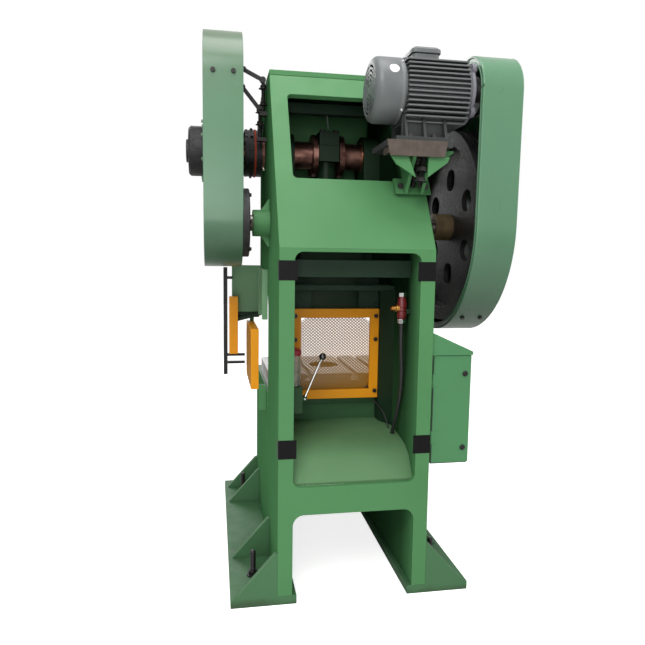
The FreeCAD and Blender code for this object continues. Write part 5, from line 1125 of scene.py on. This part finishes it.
# %% [markdown]
# ## Expanded metal
#
# The guards are filled with expanded metal: a sheet that is slit and pulled until it opens
# into diamonds. There are well over a thousand openings, so each may have only a few faces. A
# grid of squares is turned by 45 degrees and squeezed into diamonds, cut to the window, and
# every diamond is inset by half a strand. What is left between the holes is the net, which
# then gets its thickness.

# %% A panel of expanded metal
def expanded_metal(width, height, cell_across, cell_up, strand, thickness):
    """A flat net in the XY plane, centred on the origin, in millimetres."""
    net = bmesh.new()
    reach = math.hypot(width / cell_across, height / cell_up) * 1.1
    count = int(reach) + 2
    bmesh.ops.create_grid(net, x_segments=count, y_segments=count, size=count / 2)
    turn(net, net.verts, 45, "Z")
    bmesh.ops.scale(net, vec=(cell_across / math.sqrt(2), cell_up / math.sqrt(2), 1),
                    verts=net.verts)
    for way in (1, -1):
        for edge, axis in ((width / 2, X), (height / 2, Y)):
            bmesh.ops.bisect_plane(net, geom=net.verts[:] + net.edges[:] + net.faces[:],
                                   dist=0.0001, plane_co=axis * way * edge,
                                   plane_no=axis * way, clear_outer=True)
    tiny = [face for face in net.faces if face.calc_area() < cell_across * cell_up * 0.12]
    bmesh.ops.delete(net, geom=tiny, context="FACES")
    holes = net.faces[:]
    bmesh.ops.inset_individual(net, faces=holes, thickness=strand / 2, use_even_offset=True)
    bmesh.ops.delete(net, geom=holes, context="FACES")
    bmesh.ops.solidify(net, geom=net.faces[:], thickness=thickness)
    return net


rear_net = expanded_metal(374, 387, 16, 13.6, 4.0, 1.8)
turn(rear_net, rear_net.verts, 90, "X", (0, 196, 945.5))
finish_piece("rear_guard_net", rear_net, shaded_net_yellow, "frame", "yellow_paint",
             ["guard_meshes"])
for side, x in (("gear", 385), ("flywheel", -385)):
    side_net = expanded_metal(388, 276, 22, 15, 2.8, 1.6)
    turn(side_net, side_net.verts, 90, "X")
    turn(side_net, side_net.verts, 90, "Z", (x, -100, 906))
    finish_piece(side + "_side_guard_net", side_net, shaded_net_yellow, "frame", "yellow_paint",
                 ["guard_meshes"])

# %% [markdown]
# ## The hand oil pump
#
# The operator pulls a small lever to send oil to the bearings. The pump's reservoir is a clear
# cup, and what makes it read as clear is its wall: a cup with an inside and an outside bends
# light where a solid rod would look like glass stock. The oil is a body of its own, a hair
# smaller than the cup, up to its level. The red cap has ribs for the fingers.

# %% Reservoir, cap and lever
PUMP_X, PUMP_Y, CUP_LOW, CUP_TOP = 213, 350, 830, 966
cup = bmesh.new()
add_turned(cup, (PUMP_X, PUMP_Y, CUP_LOW), Z,
           [(0, 0), (0, 27), (2, 30), (5, 31), (118, 31), (122, 29), (136, 29), (136, 26.5),
            (120, 26.5), (116, 28.4), (6, 28.4), (3, 26), (3, 0)], 48)
finish_piece("reservoir_cup", cup, clear_cup, "frame", "clear_cup", ["oil_reservoir"],
             smooth_angle=50)
oil_fill = bmesh.new()
add_turned(oil_fill, (PUMP_X, PUMP_Y, CUP_LOW + 3.2), Z,
           [(0, 0), (0, 25.8), (3, 28.1), (62, 28.1), (62, 0)], 48)
finish_piece("reservoir_oil", oil_fill, oil, "frame", None, smooth_angle=50)

cap = bmesh.new()
add_turned(cap, (PUMP_X, PUMP_Y, CUP_TOP), Z,
           [(0, 0), (0, 32), (3, 32.6), (22, 32.2), (26, 29), (28, 14), (33, 13), (34, 10),
            (34, 0)], 48)
for step in range(30):
    around = step * math.tau / 30
    add_bar(cap, (PUMP_X + 31.4 * math.cos(around), PUMP_Y + 31.4 * math.sin(around),
                  CUP_TOP + 3), Z, 19, 1.6, 1.2, 8)
finish_piece("reservoir_cap", cap, red_plastic, "frame", "red_plastic", ["oil_cap"], soft_edge=0.4)

LEVER_FOOT = Vector((164, 350, 773))
LEVER_HAND = Vector((86, 350, 957))
lever_way = (LEVER_HAND - LEVER_FOOT).normalized()
lever_length = (LEVER_HAND - LEVER_FOOT).length
lever = bmesh.new()
add_bar(lever, LEVER_FOOT - Y * 10, Y, 20, 9, sides=32)
add_bar(lever, LEVER_FOOT - Y * 16.5, Y, 33, 4, sides=20)
add_turned(lever, LEVER_FOOT, lever_way,
           [(0, 0), (0, 6.5), (18, 6.5), (24, 5), (lever_length - 24, 4.4),
            (lever_length - 22, 7), (lever_length - 12, 8), (lever_length - 10, 0)], 24)
finish_piece("pump_lever_stem", lever, chrome, "lever", "zinc", ["pump_lever"], soft_edge=0.4)
knob = bmesh.new()
bmesh.ops.create_uvsphere(knob, u_segments=48, v_segments=32, radius=16,
                          matrix=Matrix.Translation(LEVER_HAND) @ pointing(lever_way))
for vert in knob.verts:
    depth = (vert.co - LEVER_HAND).dot(lever_way)
    vert.co += lever_way * max(-13.5 - depth, 0)
finish_piece("pump_lever_knob", knob, knob_plastic, "lever", None, ["pump_lever"], smooth_angle=60)

# %% [markdown]
# ## The air regulator
#
# A small regulator stands on the inner wall: a dark red die-cast body with cooling-like ribs
# between two plated nuts, a brass side port, and an arm to the wall. It is only a hand's width
# tall in the picture, so its outline and its four colours matter most.

# %% Regulator body, nuts and port
REG_X, REG_Y, REG_LOW = -216, 520, 1122
reg_body = bmesh.new()
add_turned(reg_body, (REG_X, REG_Y, REG_LOW + 17), Z,
           [(0, 0), (0, 14), (6, 17), (18, 20), (26, 20), (28, 18), (33, 18), (35, 20),
            (43, 20), (45, 18), (50, 18), (52, 20), (68, 20), (72, 18), (84, 17), (92, 14),
            (96, 14), (96, 0)], 40)
finish_piece("regulator_body", reg_body, dark_red_body, "frame", "bronze", ["air_regulator"],
             soft_edge=1.2)
reg_arm = bmesh.new()
add_block(reg_arm, (-250, REG_Y - 12, REG_LOW + 40), (REG_X - 17, REG_Y + 12, REG_LOW + 60))
finish_piece("regulator_arm", reg_arm, shade_painted_green, "frame", "green_paint", soft_edge=1.0)
reg_nuts = bmesh.new()
add_bolt(reg_nuts, (REG_X, REG_Y, REG_LOW + 18), -Z, 30, 18)
add_bolt(reg_nuts, (REG_X, REG_Y, REG_LOW + 112), Z, 30, 18)
finish_piece("regulator_nuts", reg_nuts, chrome, "frame", "zinc", ["air_regulator"], soft_edge=0.6)
reg_port = bmesh.new()
add_turned(reg_port, (REG_X + 12, REG_Y, REG_LOW + 64), X,
           [(0, 0), (0, 17), (12, 17), (15, 15), (17, 12), (24, 12), (26, 10), (26, 0)], 36)
add_bolt(reg_port, (REG_X + 37, REG_Y, REG_LOW + 64), X, 19, 9)
finish_piece("regulator_port", reg_port, brass, "frame", "bronze", soft_edge=0.6)

# %% [markdown]
# ## Anchor bolts
#
# Four studs come out of the floor through the base plates, each with a washer, a nut and a long
# free end. A real thread is a helix. At this size a stack of small ridges looks the same from
# any side and closes cleanly, so the stud is one turned outline with a ridge every 3 mm.

# %% Threaded studs with nuts
studs = bmesh.new()
STUD_PITCH, STUD_RADIUS, STUD_ROOT, THREAD_LOW, STUD_TOP = 3.0, 12.0, 10.4, 61.0, 146
outline = [(0, 0), (0, STUD_ROOT), (THREAD_LOW, STUD_ROOT)]
for step in range(27):
    low = THREAD_LOW + step * STUD_PITCH
    outline += [(low + STUD_PITCH / 2, STUD_RADIUS), (low + STUD_PITCH, STUD_ROOT)]
outline += [(STUD_TOP - 1, STUD_RADIUS - 3), (STUD_TOP, STUD_RADIUS - 4.5), (STUD_TOP, 0)]
for across in (396, -396):
    for along in (465, -465):
        add_turned(studs, (across, along, 0), Z, outline, 24)
        add_bar(studs, (across, along, 36), Z, 5, 27, 26, 32)
        add_bolt(studs, (across, along, 41), Z, 36, 20)
finish_piece("anchor_studs", studs, black_oxide, "frame", "zinc", ["anchor_bolts"],
             smooth_angle=50)

# %% [markdown]
# ## Black bands on the rear flanges
#
# Four bands of black tape go round the rear edge of the frame, two on each cheek. They are a
# thin skin over the paint, so each is a strip 0.6 mm proud that also turns the corner on to the
# side.

# %% Tape the flanges
bands = bmesh.new()
for low, high in ((1303, 1379), (603, 679)):
    for way in (1, -1):
        add_block(bands, (way * 238.5, 649.9, low), (way * 310.5, 650.6, high))
        add_block(bands, (way * 309.9, 610, low), (way * 310.6, 650.5, high))
finish_piece("flange_bands", bands, black_tape, "frame", None, soft_edge=0.2)

# %% [markdown]
# ## Floor, lamps and background
#
# The press stands on a pale floor under soft studio light: a wide lamp high on the camera's
# side and a weak one low, one each on the flywheel's and the operator's side, and one over the
# top. Wide lamps give soft shadows and long soft highlights on the paint. The background is
# white where the camera, a reflection or a clear piece looks at it, while the light that
# reaches the press stays at a plain level.

# %% Light the press
floor_finish, floor_shader = new_finish("pale_floor", Roughness=0.7)
feed(floor_finish, floor_shader, "Base Color",
     tinted(floor_finish, grain(floor_finish, 3.0, 3.0), srgb(232, 232, 230),
            srgb(240, 240, 238)))
light_path = add_node(floor_finish, "LightPath")
floor_shader.inputs["Emission Color"].default_value = (1, 1, 1, 1)
feed(floor_finish, floor_shader, "Emission Strength",
     times(floor_finish, light_path.outputs["Is Camera Ray"], 0.8))
floor_shape = bmesh.new()
bmesh.ops.create_grid(floor_shape, x_segments=8, y_segments=8, size=14.0)
floor_data = bpy.data.meshes.new("floor")
floor_shape.to_mesh(floor_data)
floor_shape.free()
floor_data.materials.append(floor_finish)
floor = add_object("floor", floor_data)

world = bpy.data.worlds.new("studio")
world.use_nodes = True
bpy.context.scene.world = world
ray = add_node(world, "LightPath").outputs
through = compute(world, "MAXIMUM", ray["Is Glossy Ray"], ray["Is Transmission Ray"])
seen = compute(world, "MAXIMUM", ray["Is Camera Ray"], through)
sky = world.node_tree.nodes["Background"]
sky.inputs["Color"].default_value = (1, 1, 1, 1)
feed(world, sky, "Strength", spread(world, seen, 0.0, 1.0, 0.28, 1.0))


def hang_lamp(name, place, aim, size, power):
    """A square area lamp that points at a place."""
    lamp_data = bpy.data.lights.new(name, "AREA")
    lamp_data.shape = "SQUARE"
    lamp_data.size = size
    lamp_data.energy = power
    lamp = add_object(name, lamp_data)
    lamp.location = place
    lamp.rotation_euler = (Vector(aim) - Vector(place)).to_track_quat("-Z", "Y").to_euler()


hang_lamp("rear_lamp", (1.8, 4.0, 4.6), (0, 0, 1.4), 2.4, 155)
hang_lamp("low_rear_lamp", (0.9, 5.2, 1.5), (0, 0, 1.0), 1.8, 44)
hang_lamp("flywheel_lamp", (-3.6, 2.2, 3.2), (0, 0, 1.4), 2.2, 45)
hang_lamp("operator_lamp", (1.2, -4.4, 3.4), (0, 0, 1.2), 2.6, 85)
hang_lamp("top_lamp", (0, 1.0, 5.2), (0, 0, 1), 2.4, 92)
